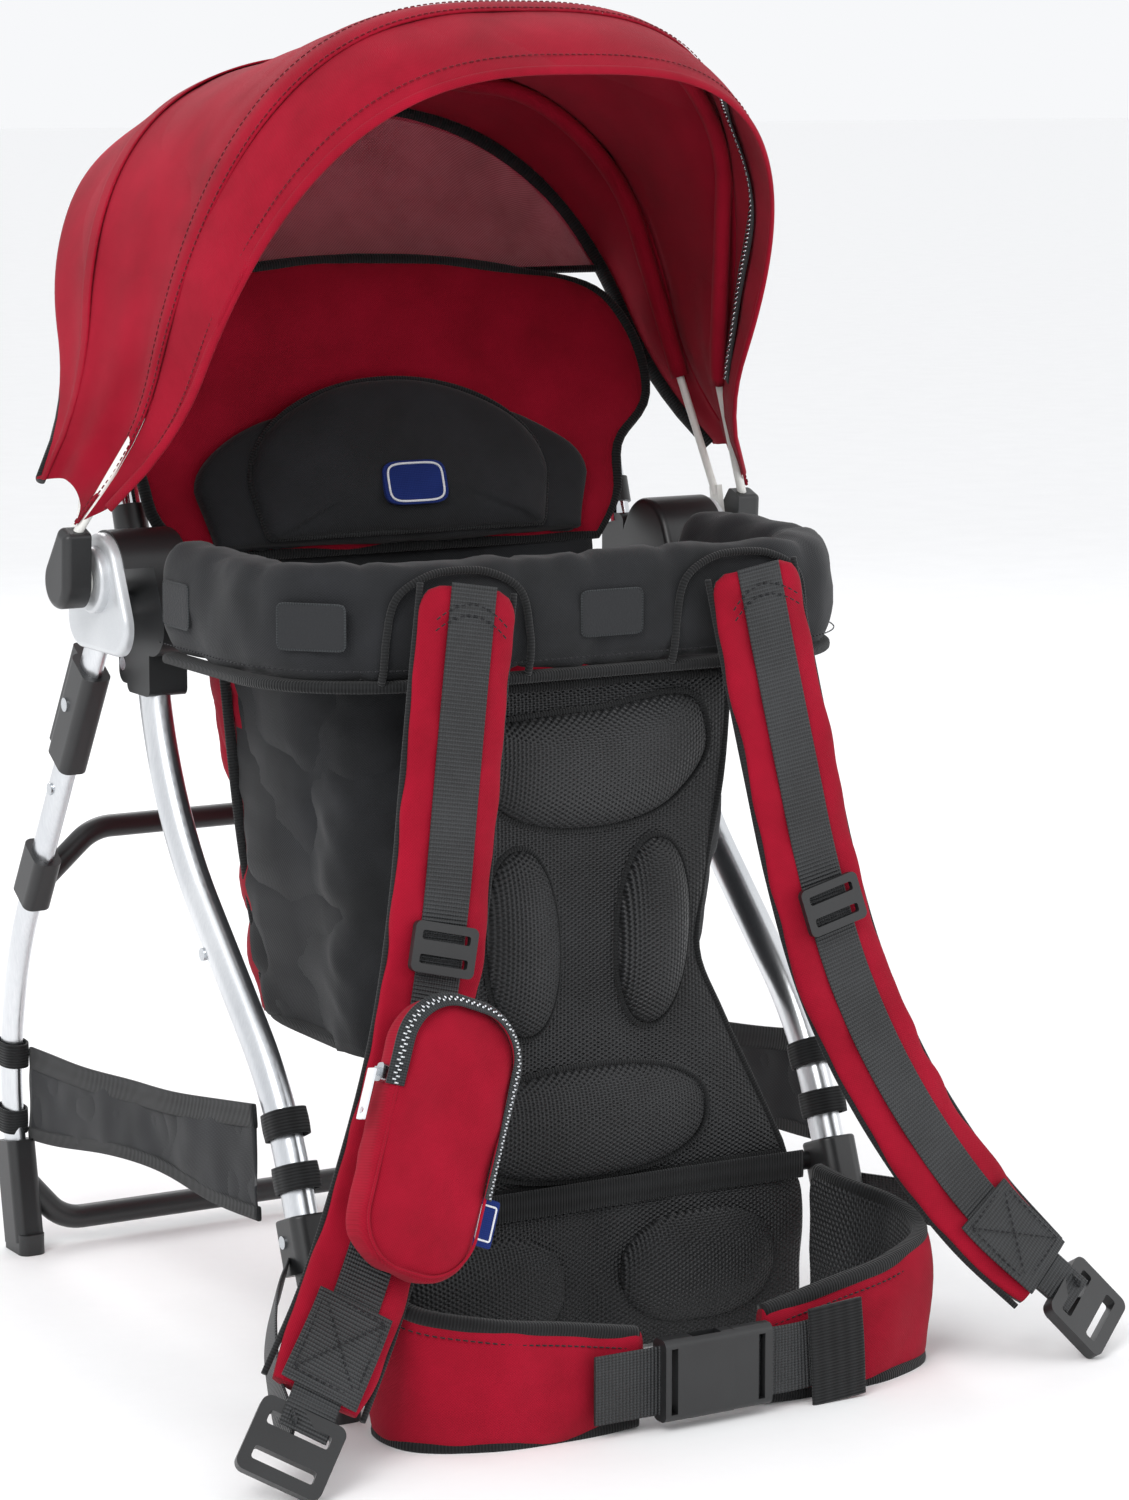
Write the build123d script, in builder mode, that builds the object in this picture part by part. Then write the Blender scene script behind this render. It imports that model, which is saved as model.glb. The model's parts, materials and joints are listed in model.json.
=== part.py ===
"""Framed baby carrier backpack with a fold-out stand and a sun canopy.

Millimetres. X runs across the carrier, -Y is the side that lies on the wearer's back, +Y is the side of
the fold-out stand, and Z is up from the floor. X = 0 is the plane of symmetry. Pieces called left are
at -X. Side profiles are given as (y, z) points.
"""

import math
import os

from build123d import *

os.makedirs("parts", exist_ok=True)

# ---------------------------------------------------------------- driving dimensions
FRONT_TUBE_X = 188.0  # middle of the front tubes
FRONT_TUBE_HALF_X = 9.5
FRONT_TUBE_HALF_SIDE = 12.5
LEG_X = 208.5  # middle of the stand's legs, which swing outside the front tubes
LEG_HALF_X = 6.5
LEG_HALF_SIDE = 11.0
TUBE_WALL = 1.5
FRONT_TUBE_LINE = [(90, 440), (66, 330), (-92, 178), (-124, 100)]
FRONT_TUBE_RADII = [250, 230]
LEG_LINE = [(102, 462), (262, 210), (284, 120), (263, 8)]
LEG_RADII = [220, 200]

STAND_PIVOT = (102, 462)  # (y, z) of the stand's hinge
BOW_PIVOT = (86, 476)  # (y, z) of the canopy's hinge
PIN_RADIUS = 4.0
RUNNING_GAP = 0.06

HOUSING_INNER_X = 172.0
HOUSING_OUTER_X = 198.0
COVER_INNER_X = 217.5
COVER_OUTER_X = 224.5
BOSS_OUTER_X = 230.5
BOSS_RADIUS = 21.0
REAR_TAB_X = (230.8, 234.8)
CAP_X = (235.1, 253.1)
BOW_PIN_END_X = 243.0

RING_X = 185.0
RING_FRONT_Y = -133.0
RING_Z = 468.0
RING_END_Y = 33.0
RING_CORNER = 68.0
RING_TUBE_RADIUS = 8.0
RING_PAD_DEPTH = 44.0
RING_PAD_HEIGHT = 74.0

HOOP_X = 178.0
HOOP_BASE = (130, 486)
HOOP_TILT = 18.0
HOOP_RISE = 168.0
HOOP_RADIUS = 9.0
BACKREST_OFFSET = 22.0
BACKREST_THICKNESS = 10.0

FRONT_BOW_TILT = 21.0
REAR_BOW_TILT = -12.0
VISOR_TILT = 34.0
CANOPY_BACK_TILT = -30.0
CLOTH = 3.0
CLOTH_FLARE = 30.0  # how far the canopy's sides spread at the bottom, over the bows' feet
FLARE_HEIGHT = 100.0

STRAP_WIDTH = 66.0
STRAP_THICKNESS = 12.0
WEBBING_WIDTH = 30.0
WEBBING_THICKNESS = 1.8
LAYER_GAP = 0.4

PANEL_Y = -124.0
PANEL_THICKNESS = 12.0
BELT_THICKNESS = 13.0
BUCKLE_Y = -282.5
BUCKLE_Z = 31.0


# ---------------------------------------------------------------- helpers
def save(builder, name):
    builder.part.label = name
    export_step(builder.part, f"parts/{name}.step")


def save_pair(builder, name):
    """Writes a left piece and its mirror image."""
    save(builder, name + "_left")
    with BuildPart() as right:
        mirror(builder.part, about=Plane.YZ)
    save(right, name + "_right")


def both_sides(builder):
    """A left piece and its mirror image, as two solids of one node."""
    with BuildPart() as made:
        add(builder.part)
        mirror(builder.part, about=Plane.YZ)
    return made


def side_plane(x):
    """Drawing plane of a side profile: local (y, z) at that x, with its normal along +X."""
    return Plane(origin=(x, 0, 0), x_dir=(0, 1, 0), z_dir=(1, 0, 0))


def tilted_plane(pivot, tilt, x=0.0):
    """Plane through a pivot line along X: local x is X and local y leans forward by the tilt."""
    lean = math.radians(tilt)
    normal = (0, -math.cos(lean), -math.sin(lean))
    return Plane(origin=(x, pivot[0], pivot[1]), x_dir=(1, 0, 0), z_dir=normal)


def tube(plane, line, radii, half_x, half_side, wall=0.0):
    """Tube of oval section swept along straight runs joined by tangent arcs."""
    with BuildPart() as made:
        with BuildLine(plane) as path:
            FilletPolyline(*line, radius=radii)
        start = Plane(origin=path.line @ 0, x_dir=(1, 0, 0), z_dir=path.line % 0)
        with BuildSketch(start):
            Ellipse(half_x, half_side)
            if wall:
                Ellipse(half_x - wall, half_side - wall, mode=Mode.SUBTRACT)
        sweep(path=path.line)
    return made


def band(points, facing, widths, thickness, lift=0.0):
    """Flat strip through points: a ruled loft of rectangles whose broad face looks along facing."""
    stations = [Vector(*p) for p in points]
    with BuildPart() as made:
        for i, here in enumerate(stations):
            before = stations[max(i - 1, 0)]
            after = stations[min(i + 1, len(stations) - 1)]
            along = (after - before).normalized()
            look = Vector(*(facing[i] if isinstance(facing, list) else facing))
            across = along.cross(look).normalized()
            outward = across.cross(along).normalized()
            width = widths[i] if isinstance(widths, list) else widths
            with BuildSketch(Plane(origin=here + outward * lift, x_dir=across, z_dir=along)):
                Rectangle(width, thickness)
        loft(ruled=True)
    return made


def disc(x_from, x_to, centre, radius):
    """Round plug along X between two x values, centred at (y, z)."""
    with BuildPart() as made:
        with BuildSketch(side_plane(x_from)):
            with Locations(centre):
                Circle(radius)
        extrude(amount=x_to - x_from)
    return made


# ---------------------------------------------------------------- front frame
front_tube_way = (side_plane(-FRONT_TUBE_X), FRONT_TUBE_LINE, FRONT_TUBE_RADII)
front_tube = tube(*front_tube_way, FRONT_TUBE_HALF_X, FRONT_TUBE_HALF_SIDE, TUBE_WALL)
front_tube_space = tube(*front_tube_way, FRONT_TUBE_HALF_X, FRONT_TUBE_HALF_SIDE)
save_pair(front_tube, "front_tube")

base_top = Vector(-FRONT_TUBE_X, FRONT_TUBE_LINE[-1][0] - 3, FRONT_TUBE_LINE[-1][1] - 8)
base_foot = Vector(-FRONT_TUBE_X, -166, 0)
with BuildPart() as base_leg:
    with BuildSketch(Plane(origin=base_top, x_dir=(1, 0, 0), z_dir=base_foot - base_top)):
        RectangleRounded(17, 20, 6)
    extrude(amount=(base_foot - base_top).length)
    with BuildSketch(Plane.XY):
        with Locations((base_foot.X, base_foot.Y + 2)):
            RectangleRounded(22, 30, 7)
    extrude(amount=12)
    split(bisect_by=Plane.XY, keep=Keep.TOP)
save_pair(base_leg, "base_leg")

with BuildPart() as front_crossbar:
    with BuildSketch(side_plane(-FRONT_TUBE_X + 13)):
        with Locations((-114, 98)):
            Circle(6)
    extrude(amount=2 * FRONT_TUBE_X - 26)
save(front_crossbar, "front_crossbar")

bracket_axis = Vector(0, -22, -58).normalized()
with BuildPart() as frame_bracket:
    with BuildSketch(Plane(origin=(-FRONT_TUBE_X, -119.5, 112), x_dir=(1, 0, 0), z_dir=bracket_axis)):
        RectangleRounded(26, 33, 8)
    extrude(amount=34)
    fillet(frame_bracket.edges().group_by(Axis.Z)[-1], 2)
    add(front_tube_space.part, mode=Mode.SUBTRACT)
    add(base_leg.part, mode=Mode.SUBTRACT)
save_pair(frame_bracket, "frame_bracket")


# ---------------------------------------------------------------- hinge housings
def housing_outline(grow):
    """Kidney outline of the housing, drawn as the hull of its three round corners."""
    with Locations((86, 478)):
        Circle(27 + grow)
    with Locations((64, 449)):
        Circle(19 + grow)
    with Locations((114, 449)):
        Circle(19 + grow)
    make_hull()


ring_line = [
    (-RING_X, RING_END_Y),
    (-RING_X, RING_FRONT_Y),
    (RING_X, RING_FRONT_Y),
    (RING_X, RING_END_Y),
]
ring_tube_line = [(-RING_X, 70)] + ring_line[1:3] + [(RING_X, 70)]
ring_plane = Plane.XY.offset(RING_Z)
with BuildPart() as ring_tube:
    with BuildLine(ring_plane) as ring_path:
        FilletPolyline(*ring_tube_line, radius=RING_CORNER)
    with BuildSketch(Plane(origin=ring_path.line @ 0, x_dir=(1, 0, 0), z_dir=ring_path.line % 0)):
        Circle(RING_TUBE_RADIUS)
    sweep(path=ring_path.line)
save(ring_tube, "ring_tube")

hoop_plane = tilted_plane(HOOP_BASE, -HOOP_TILT)
hoop_line = [(-HOOP_X, 0), (-HOOP_X, HOOP_RISE), (HOOP_X, HOOP_RISE), (HOOP_X, 0)]
with BuildPart() as backrest_hoop:
    with BuildLine(hoop_plane) as hoop_path:
        FilletPolyline(*hoop_line, radius=62)
    with BuildSketch(Plane(origin=hoop_path.line @ 0, x_dir=(1, 0, 0), z_dir=hoop_path.line % 0)):
        Circle(HOOP_RADIUS)
    sweep(path=hoop_path.line)
save(backrest_hoop, "backrest_hoop")

with BuildPart() as housing_inner:
    with BuildSketch(side_plane(-HOUSING_OUTER_X)):
        housing_outline(1.5)
    extrude(amount=HOUSING_OUTER_X - HOUSING_INNER_X)
    fillet(housing_inner.faces().sort_by(Axis.X)[-1].edges(), 4)
    # ear behind the kidney that takes the foot of the backrest hoop
    with BuildSketch(side_plane(-HOUSING_OUTER_X + 6)):
        with Locations((127, 476)):
            RectangleRounded(28, 34, 6)
    extrude(amount=HOUSING_OUTER_X - HOUSING_INNER_X - 6)
    # collar under the kidney that clamps the top of the front tube, with its screw lug
    with BuildSketch(side_plane(-HOUSING_OUTER_X)):
        with Locations((84, 418)):
            RectangleRounded(34, 32, 5)
        with Locations((103, 420)):
            RectangleRounded(20, 26, 8)
    extrude(amount=HOUSING_OUTER_X - HOUSING_INNER_X)
    # rim over the top of the slot in which the stand's leg turns
    with BuildSketch(side_plane(-COVER_INNER_X)):
        housing_outline(1.5)
        with BuildSketch(side_plane(-COVER_INNER_X), mode=Mode.SUBTRACT):
            housing_outline(-3)
        with Locations((90, 430)):
            Rectangle(140, 110, mode=Mode.SUBTRACT)
    extrude(amount=COVER_INNER_X - HOUSING_OUTER_X)
    add(front_tube_space.part, mode=Mode.SUBTRACT)
    add(ring_tube.part, mode=Mode.SUBTRACT)
    add(backrest_hoop.part, mode=Mode.SUBTRACT)
save_pair(housing_inner, "housing_inner")

with BuildPart() as housing_cover:
    with BuildSketch(side_plane(-COVER_OUTER_X)):
        housing_outline(0)
    extrude(amount=COVER_OUTER_X - COVER_INNER_X)
    fillet(housing_cover.faces().sort_by(Axis.X)[0].edges(), 4)
    with BuildSketch(side_plane(-BOSS_OUTER_X)):
        with Locations(BOW_PIVOT):
            Circle(BOSS_RADIUS)
    extrude(amount=BOSS_OUTER_X - COVER_OUTER_X + 1)
    fillet(housing_cover.faces().sort_by(Axis.X)[0].edges(), 2.5)
    add(disc(-BOW_PIN_END_X, -BOSS_OUTER_X, BOW_PIVOT, PIN_RADIUS).part)
save_pair(housing_cover, "housing_cover")

stand_pin = disc(-COVER_INNER_X, -HOUSING_OUTER_X, STAND_PIVOT, PIN_RADIUS)
save(both_sides(stand_pin), "stand_pins")

collar_start = hoop_plane.from_local_coords((-HOOP_X, 13, 0))
with BuildPart() as hoop_collar:
    with BuildSketch(Plane(origin=collar_start, x_dir=(1, 0, 0), z_dir=hoop_plane.y_dir)):
        Circle(HOOP_RADIUS + 2)
        Circle(HOOP_RADIUS, mode=Mode.SUBTRACT)
    extrude(amount=17)
save(both_sides(hoop_collar), "hoop_collars")

# ---------------------------------------------------------------- padded ring round the cabin
with BuildPart() as ring_pad:
    with BuildLine(ring_plane) as pad_path:
        FilletPolyline(*ring_line, radius=RING_CORNER)
    with BuildSketch(Plane(origin=pad_path.line @ 0, x_dir=(1, 0, 0), z_dir=pad_path.line % 0)):
        RectangleRounded(RING_PAD_DEPTH, RING_PAD_HEIGHT, 18)
        Circle(RING_TUBE_RADIUS + 0.3, mode=Mode.SUBTRACT)
    sweep(path=pad_path.line)
save(ring_pad, "ring_pad")

# ---------------------------------------------------------------- fold-out stand
leg_way = (side_plane(-LEG_X), LEG_LINE, LEG_RADII)
leg_space = tube(*leg_way, LEG_HALF_X, LEG_HALF_SIDE)
with BuildPart() as rear_leg:
    add(tube(*leg_way, LEG_HALF_X, LEG_HALF_SIDE, TUBE_WALL).part)
    # pressed eye at the top of the leg
    add(disc(-LEG_X - LEG_HALF_X, -LEG_X + LEG_HALF_X, STAND_PIVOT, LEG_HALF_SIDE).part)
    pin_hole = disc(-LEG_X - LEG_HALF_X, -LEG_X + LEG_HALF_X, STAND_PIVOT, PIN_RADIUS + RUNNING_GAP)
    add(pin_hole.part, mode=Mode.SUBTRACT)
save_pair(rear_leg, "rear_leg")

leg_direction = Vector(0, 160, -252).normalized()


def leg_point(height):
    """Point on the straight upper run of the left leg at that height."""
    share = (STAND_PIVOT[1] - height) / 252
    return Vector(-LEG_X, STAND_PIVOT[0] + 160 * share, height)


with BuildPart() as leg_sleeve:
    with BuildSketch(Plane(origin=leg_point(414), x_dir=(1, 0, 0), z_dir=leg_direction)):
        RectangleRounded(2 * LEG_HALF_X + 6, 2 * LEG_HALF_SIDE + 7, 6)
        with Locations((0, -17)):
            RectangleRounded(8, 16, 3)
    extrude(amount=78)
    add(leg_space.part, mode=Mode.SUBTRACT)
save_pair(leg_sleeve, "leg_sleeve")

with BuildPart() as mid_crossbar:
    with BuildLine(Plane(origin=(0, 229, 0), x_dir=(1, 0, 0), z_dir=(0, -1, 0))) as mid_path:
        FilletPolyline((-LEG_X + 2, 258), (-168, 292), (168, 292), (LEG_X - 2, 258), radius=34)
    with BuildSketch(Plane(origin=mid_path.line @ 0, x_dir=(0, 1, 0), z_dir=mid_path.line % 0)):
        Circle(7.5)
    sweep(path=mid_path.line)
    for side in (-1, 1):
        middle = leg_point(281)
        with BuildSketch(Plane(origin=(side * LEG_X, middle.Y, middle.Z), x_dir=(1, 0, 0), z_dir=leg_direction)):
            RectangleRounded(2 * LEG_HALF_X + 6, 2 * LEG_HALF_SIDE + 6, 6)
        extrude(amount=40)
    add(leg_space.part, mode=Mode.SUBTRACT)
    add(mirror(leg_space.part, about=Plane.YZ, mode=Mode.PRIVATE), mode=Mode.SUBTRACT)
save(mid_crossbar, "mid_crossbar")

with BuildPart() as foot_bar:
    with BuildLine(Plane(origin=(0, 265, 0), x_dir=(1, 0, 0), z_dir=(0, -1, 0))) as foot_path:
        FilletPolyline((-LEG_X + 2, 48), (-180, 17), (180, 17), (LEG_X - 2, 48), radius=32)
    with BuildSketch(Plane(origin=foot_path.line @ 0, x_dir=(0, 1, 0), z_dir=foot_path.line % 0)):
        Circle(8)
    sweep(path=foot_path.line)
    for side in (-1, 1):
        with BuildSketch(Plane(origin=(side * LEG_X, 275.5, 74), x_dir=(1, 0, 0), z_dir=(0, -12.2, -65))):
            RectangleRounded(2 * LEG_HALF_X + 7, 2 * LEG_HALF_SIDE + 8, 6)
        extrude(amount=69)
        with BuildSketch(Plane.XY):
            with Locations((side * LEG_X, 262)):
                RectangleRounded(2 * LEG_HALF_X + 5, 34, 6)
        extrude(amount=14)
    add(leg_space.part, mode=Mode.SUBTRACT)
    add(mirror(leg_space.part, about=Plane.YZ, mode=Mode.PRIVATE), mode=Mode.SUBTRACT)
save(foot_bar, "foot_bar")


# ---------------------------------------------------------------- fasteners
def rivet_pair(x_skin, centre, radius, height, sink):
    """Round heads on both outer sides, sunk a little into what they fasten."""
    with BuildPart() as heads:
        for side in (-1, 1):
            with BuildSketch(side_plane(side * (x_skin - sink))):
                with Locations(centre):
                    Circle(radius)
            extrude(amount=side * (height + sink))
    return heads


with BuildPart() as frame_rivets:
    add(rivet_pair(FRONT_TUBE_X + FRONT_TUBE_HALF_X, (-5, 252), 4.0, 0.8, 2.0).part)
    add(rivet_pair(HOUSING_OUTER_X, (107, 419), 4.5, 0.3, 2.0).part)
    add(rivet_pair(FRONT_TUBE_X + 13, (-121, 98), 4.0, 1.2, 2.0).part)
save(frame_rivets, "frame_rivets")

sleeve_rivet = leg_point(388)
tube_rivet = leg_point(328)
with BuildPart() as leg_rivets:
    add(rivet_pair(LEG_X + LEG_HALF_X + 3, (sleeve_rivet.Y + 4, sleeve_rivet.Z), 4.5, 1.2, 2.0).part)
    add(rivet_pair(LEG_X + LEG_HALF_X, (tube_rivet.Y, tube_rivet.Z), 4.0, 1.2, 2.0).part)
save(leg_rivets, "leg_rivets")

# ---------------------------------------------------------------- child's seat
with BuildPart() as seat_bag:
    with BuildSketch(Plane.XY.offset(192)):
        with Locations((0, -4)):
            RectangleRounded(250, 186, 40)
    with BuildSketch(Plane.XY.offset(424)):
        with Locations((0, 6)):
            RectangleRounded(304, 216, 40)
    loft(ruled=True)
    with BuildSketch(Plane.XY.offset(199)):
        with Locations((0, -4)):
            RectangleRounded(236, 172, 34)
    with BuildSketch(Plane.XY.offset(424)):
        with Locations((0, 6)):
            RectangleRounded(290, 202, 34)
    loft(ruled=True, mode=Mode.SUBTRACT)
save(seat_bag, "seat_bag")

with BuildPart() as seat_board:
    with BuildSketch(Plane.XY.offset(199.3)):
        with Locations((0, -4)):
            RectangleRounded(210, 150, 30)
    extrude(amount=3)
    fillet(seat_board.edges().group_by(Axis.Z)[-1], 1)
save(seat_board, "seat_board")

backrest_plane = hoop_plane.offset(BACKREST_OFFSET)
with BuildPart() as backrest:
    with BuildSketch(backrest_plane):
        with BuildLine():
            Polyline((-150, -10), (-172, 20), (-176, 50), (-206, 84), (-204, 110), (-186, 150))
            ThreePointArc((-186, 150), (0, 184), (186, 150))
            Polyline((186, 150), (204, 110), (206, 84), (176, 50), (172, 20), (150, -10))
            Line((150, -10), (-150, -10))
        make_face()
    extrude(amount=-BACKREST_THICKNESS)
save(backrest, "backrest")

with BuildPart() as headrest:
    with BuildSketch(backrest_plane.offset(0.4)):
        with BuildLine():
            Line((-138, -4), (138, -4))
            Line((138, -4), (138, 36))
            EllipticalCenterArc((0, 36), 138, 76, start_angle=0, arc_size=180)
            Line((-138, 36), (-138, -4))
        make_face()
    extrude(amount=26)
    fillet(headrest.faces().sort_by(Axis.Y)[0].edges(), 9)
save(headrest, "headrest")

with BuildPart() as harness_straps:
    for side in (-1, 1):
        add(
            band(
                [(side * 48, 86, 436), (side * 44, 78, 330), (side * 30, 60, 262), (side * 16, 30, 240)],
                (0, -1, 0.6),
                25.0,
                2.0,
            ).part
        )
save(harness_straps, "harness_straps")

with BuildPart() as harness_buckle:
    with BuildSketch(Plane(origin=(0, 6, 222), x_dir=(1, 0, 0), z_dir=(0, -0.3, 1))):
        RectangleRounded(44, 40, 8)
    extrude(amount=12)
    fillet(harness_buckle.faces().sort_by(Axis.Z)[-1].edges(), 3)
save(harness_buckle, "harness_buckle")

# ---------------------------------------------------------------- wearer's back panel and waist belt
panel_half_widths = [(146, 112), (96, 209), (79, 246), (84, 292), (99, 367), (102, 422)]
wear_plane = Plane(origin=(0, PANEL_Y, 0), x_dir=(1, 0, 0), z_dir=(0, -1, 0))
with BuildPart() as back_panel:
    with BuildSketch(wear_plane):
        with BuildLine():
            Spline(*panel_half_widths)
            Spline(*[(-x, z) for x, z in panel_half_widths])
            Line((-102, 422), (102, 422))
            Line((-146, 112), (146, 112))
        make_face()
    extrude(amount=PANEL_THICKNESS)
save(back_panel, "back_panel")

pad_plane = wear_plane.offset(PANEL_THICKNESS)
with BuildPart() as back_pads:
    with BuildSketch(pad_plane):
        with Locations((0, 372)):
            RectangleRounded(156, 66, 30)
        with Locations((-46, 268), (46, 268)):
            Ellipse(22, 56)
        with Locations((0, 150)):
            RectangleRounded(160, 66, 30)
    extrude(amount=9)
save(back_pads, "back_pads")

with BuildPart() as lumbar_pad:
    with BuildSketch(Plane(origin=(0, -133, 1), x_dir=(1, 0, 0), z_dir=(0, 0, 1))):
        RectangleRounded(314, 22, 8)
    extrude(amount=108)
save(lumbar_pad, "lumbar_pad")

wing_line = [
    (-159, -152, 52),
    (-164, -180, 50),
    (-181, -206, 46),
    (-178, -238, 42),
    (-140, -262, 38),
    (-90, -268, 34),
    (-44, -268, 31),
]
wing_heights = [102.0, 98.0, 90.0, 82.0, 74.0, 66.0, 58.0]
with BuildPart() as belt_wing:
    wing = [Vector(*p) for p in wing_line]
    for i, here in enumerate(wing):
        along = (wing[min(i + 1, len(wing) - 1)] - wing[max(i - 1, 0)]).normalized()
        flat_along = Vector(along.X, along.Y, 0).normalized()
        with BuildSketch(Plane(origin=here, x_dir=(0, 0, 1), z_dir=flat_along)):
            Rectangle(wing_heights[i], BELT_THICKNESS)
    loft(ruled=True)
save_pair(belt_wing, "belt_wing")

with BuildPart() as buckle_socket:
    with BuildSketch(Plane(origin=(-36, BUCKLE_Y, BUCKLE_Z), x_dir=(0, 1, 0), z_dir=(1, 0, 0))):
        RectangleRounded(15, 50, 5)
    extrude(amount=48)
    with BuildSketch(Plane(origin=(-22, BUCKLE_Y, BUCKLE_Z), x_dir=(0, 1, 0), z_dir=(1, 0, 0))):
        Rectangle(8, 40)
    extrude(amount=34, mode=Mode.SUBTRACT)
    # windows through which the plug's springy arms are pressed
    for side in (-1, 1):
        with BuildSketch(Plane(origin=(-6, BUCKLE_Y, BUCKLE_Z + side * 26), x_dir=(1, 0, 0), z_dir=(0, 0, 1))):
            Rectangle(20, 8)
        extrude(amount=side * -8, mode=Mode.SUBTRACT)
    with BuildSketch(Plane(origin=(-30, BUCKLE_Y, BUCKLE_Z), x_dir=(1, 0, 0), z_dir=(0, 1, 0))):
        Rectangle(4.5, 40)
    extrude(amount=10, both=True, mode=Mode.SUBTRACT)
save(buckle_socket, "buckle_socket")

with BuildPart() as buckle_plug:
    with BuildSketch(Plane(origin=(12.5, BUCKLE_Y, BUCKLE_Z), x_dir=(0, 1, 0), z_dir=(1, 0, 0))):
        RectangleRounded(13, 50, 5)
    extrude(amount=26)
    with BuildSketch(Plane(origin=(0, BUCKLE_Y, BUCKLE_Z), x_dir=(1, 0, 0), z_dir=(0, 1, 0))):
        with Locations((-3, 0)):
            Rectangle(34, 8)
        with Locations((-1, 15), (-1, -15)):
            Rectangle(30, 5.5)
        with Locations((-12, 15.5), (-12, -15.5)):
            Rectangle(10, 7)
    extrude(amount=3, both=True)
    with BuildSketch(Plane(origin=(31, BUCKLE_Y, BUCKLE_Z), x_dir=(1, 0, 0), z_dir=(0, 1, 0))):
        Rectangle(4.5, 40)
    extrude(amount=10, both=True, mode=Mode.SUBTRACT)
save(buckle_plug, "buckle_plug")

with BuildPart() as belt_webbing_left:
    with Locations((-58, BUCKLE_Y, BUCKLE_Z)):
        Box(43, 2, 44)
save(belt_webbing_left, "belt_webbing_left")

with BuildPart() as belt_webbing_right:
    with Locations((67, BUCKLE_Y, BUCKLE_Z)):
        Box(56, 2, 44)
save(belt_webbing_right, "belt_webbing_right")

# ---------------------------------------------------------------- shoulder straps
strap_line = [
    (-98, -166, 490),
    (-108, -172, 430),
    (-118, -179, 371),
    (-129, -187, 308),
    (-147, -198, 236),
    (-183, -219, 150),
    (-222, -244, 86),
    (-252, -263, 50),
]
strap_facing = [(0, -1, 0.1)] * 5 + [(0.05, -1, 0.25), (0.1, -1, 0.35), (0.2, -1, 0.45)]
strap_facing = [(-x, y, z) for x, y, z in strap_facing]
web_lift = STRAP_THICKNESS / 2 + LAYER_GAP + WEBBING_THICKNESS / 2
shoulder_strap = band(strap_line, strap_facing, STRAP_WIDTH, STRAP_THICKNESS)
save_pair(shoulder_strap, "shoulder_strap")

one_webbing = band(strap_line, strap_facing, WEBBING_WIDTH, WEBBING_THICKNESS, web_lift)
save(both_sides(one_webbing), "strap_webbing")


def on_strap(index, share, lift):
    """Plane on the front of the left strap between two of its stations: local y runs down the strap."""
    a = Vector(*strap_line[index])
    b = Vector(*strap_line[index + 1])
    along = (b - a).normalized()
    across = along.cross(Vector(*strap_facing[index])).normalized()
    outward = across.cross(along).normalized()
    return Plane(origin=a + (b - a) * share + outward * lift, x_dir=across, z_dir=outward)


SLIDER_LIFT = web_lift + WEBBING_THICKNESS / 2 + 1.2
with BuildPart() as strap_slider:
    with BuildSketch(on_strap(3, 0.35, SLIDER_LIFT)):
        RectangleRounded(42, 30, 4)
        with Locations((0, -7), (0, 7)):
            RectangleRounded(32, 5.5, 1.5, mode=Mode.SUBTRACT)
    extrude(amount=4)
save_pair(strap_slider, "strap_slider")

end_plane = Plane(origin=(-275, -279, 28), x_dir=(0.804, -0.475, -0.453), z_dir=(-0.2, -0.82, 0.53))
with BuildPart() as strap_buckle:
    with BuildSketch(end_plane):
        RectangleRounded(52, 46, 6)
        with Locations((0, 11), (0, -11)):
            RectangleRounded(38, 8, 2, mode=Mode.SUBTRACT)
    extrude(amount=4, both=True)
save_pair(strap_buckle, "strap_buckle")

one_load_strap = band(
    [(-206, -128, 74), (-232, -170, 72), (-252, -206, 64), (-262, -232, 50)],
    (-1, 0.6, 0.3),
    [30.0, 30.0, 30.0, 30.0],
    2.0,
)
save(both_sides(one_load_strap), "load_straps")

# ---------------------------------------------------------------- phone pouch on the left strap
strap_spot = on_strap(4, 0.66, web_lift + 9.0)
pouch_plane = Plane(
    origin=strap_spot.from_local_coords((-6, 0, 0)), x_dir=strap_spot.x_dir, z_dir=strap_spot.z_dir
)
with BuildPart() as phone_pouch:
    with BuildSketch(pouch_plane):
        RectangleRounded(80, 164, 33)
    extrude(amount=28)
    fillet(phone_pouch.faces().sort_by(Axis.Y)[0].edges(), 7)
save(phone_pouch, "phone_pouch")

slider_plane = Plane(
    origin=pouch_plane.from_local_coords((40.4, -28, 14)), x_dir=pouch_plane.y_dir, z_dir=pouch_plane.x_dir
)
with BuildPart() as zip_slider:
    with BuildSketch(slider_plane):
        RectangleRounded(11, 8, 2.5)
    extrude(amount=4)
    with BuildSketch(slider_plane.offset(4)):
        Rectangle(5, 2)
    extrude(amount=3)
save(zip_slider, "zip_slider")

with BuildPart() as zip_pull:
    with BuildSketch(slider_plane.offset(7.8)):
        with Locations((14.2, 0)):
            RectangleRounded(30, 8, 0.7)
        with Locations((24, 0)):
            Circle(2, mode=Mode.SUBTRACT)
    extrude(amount=1.6)
save(zip_pull, "zip_pull")

# ---------------------------------------------------------------- side webs between legs and front tubes
with BuildPart() as side_web:
    with BuildSketch(side_plane(-200.6)):
        with BuildLine():
            Polyline((-74, 172), (255, 136), (255, 76), (-88, 104), (-74, 172))
        make_face()
    extrude(amount=2.4)
save_pair(side_web, "side_web")


# ---------------------------------------------------------------- canopy
def arch_line(half_width, height, foot_x, foot_z):
    """Corners of a canopy bow in its own plane, from the left foot to the right one."""
    left = [
        (-foot_x, foot_z),
        (-half_width - 8, 0.35 * height),
        (-half_width + 20, 0.775 * height),
        (-0.61 * half_width, 0.965 * height),
    ]
    return left + [(0, height * 1.004)] + [(-x, z) for x, z in reversed(left)]


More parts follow.
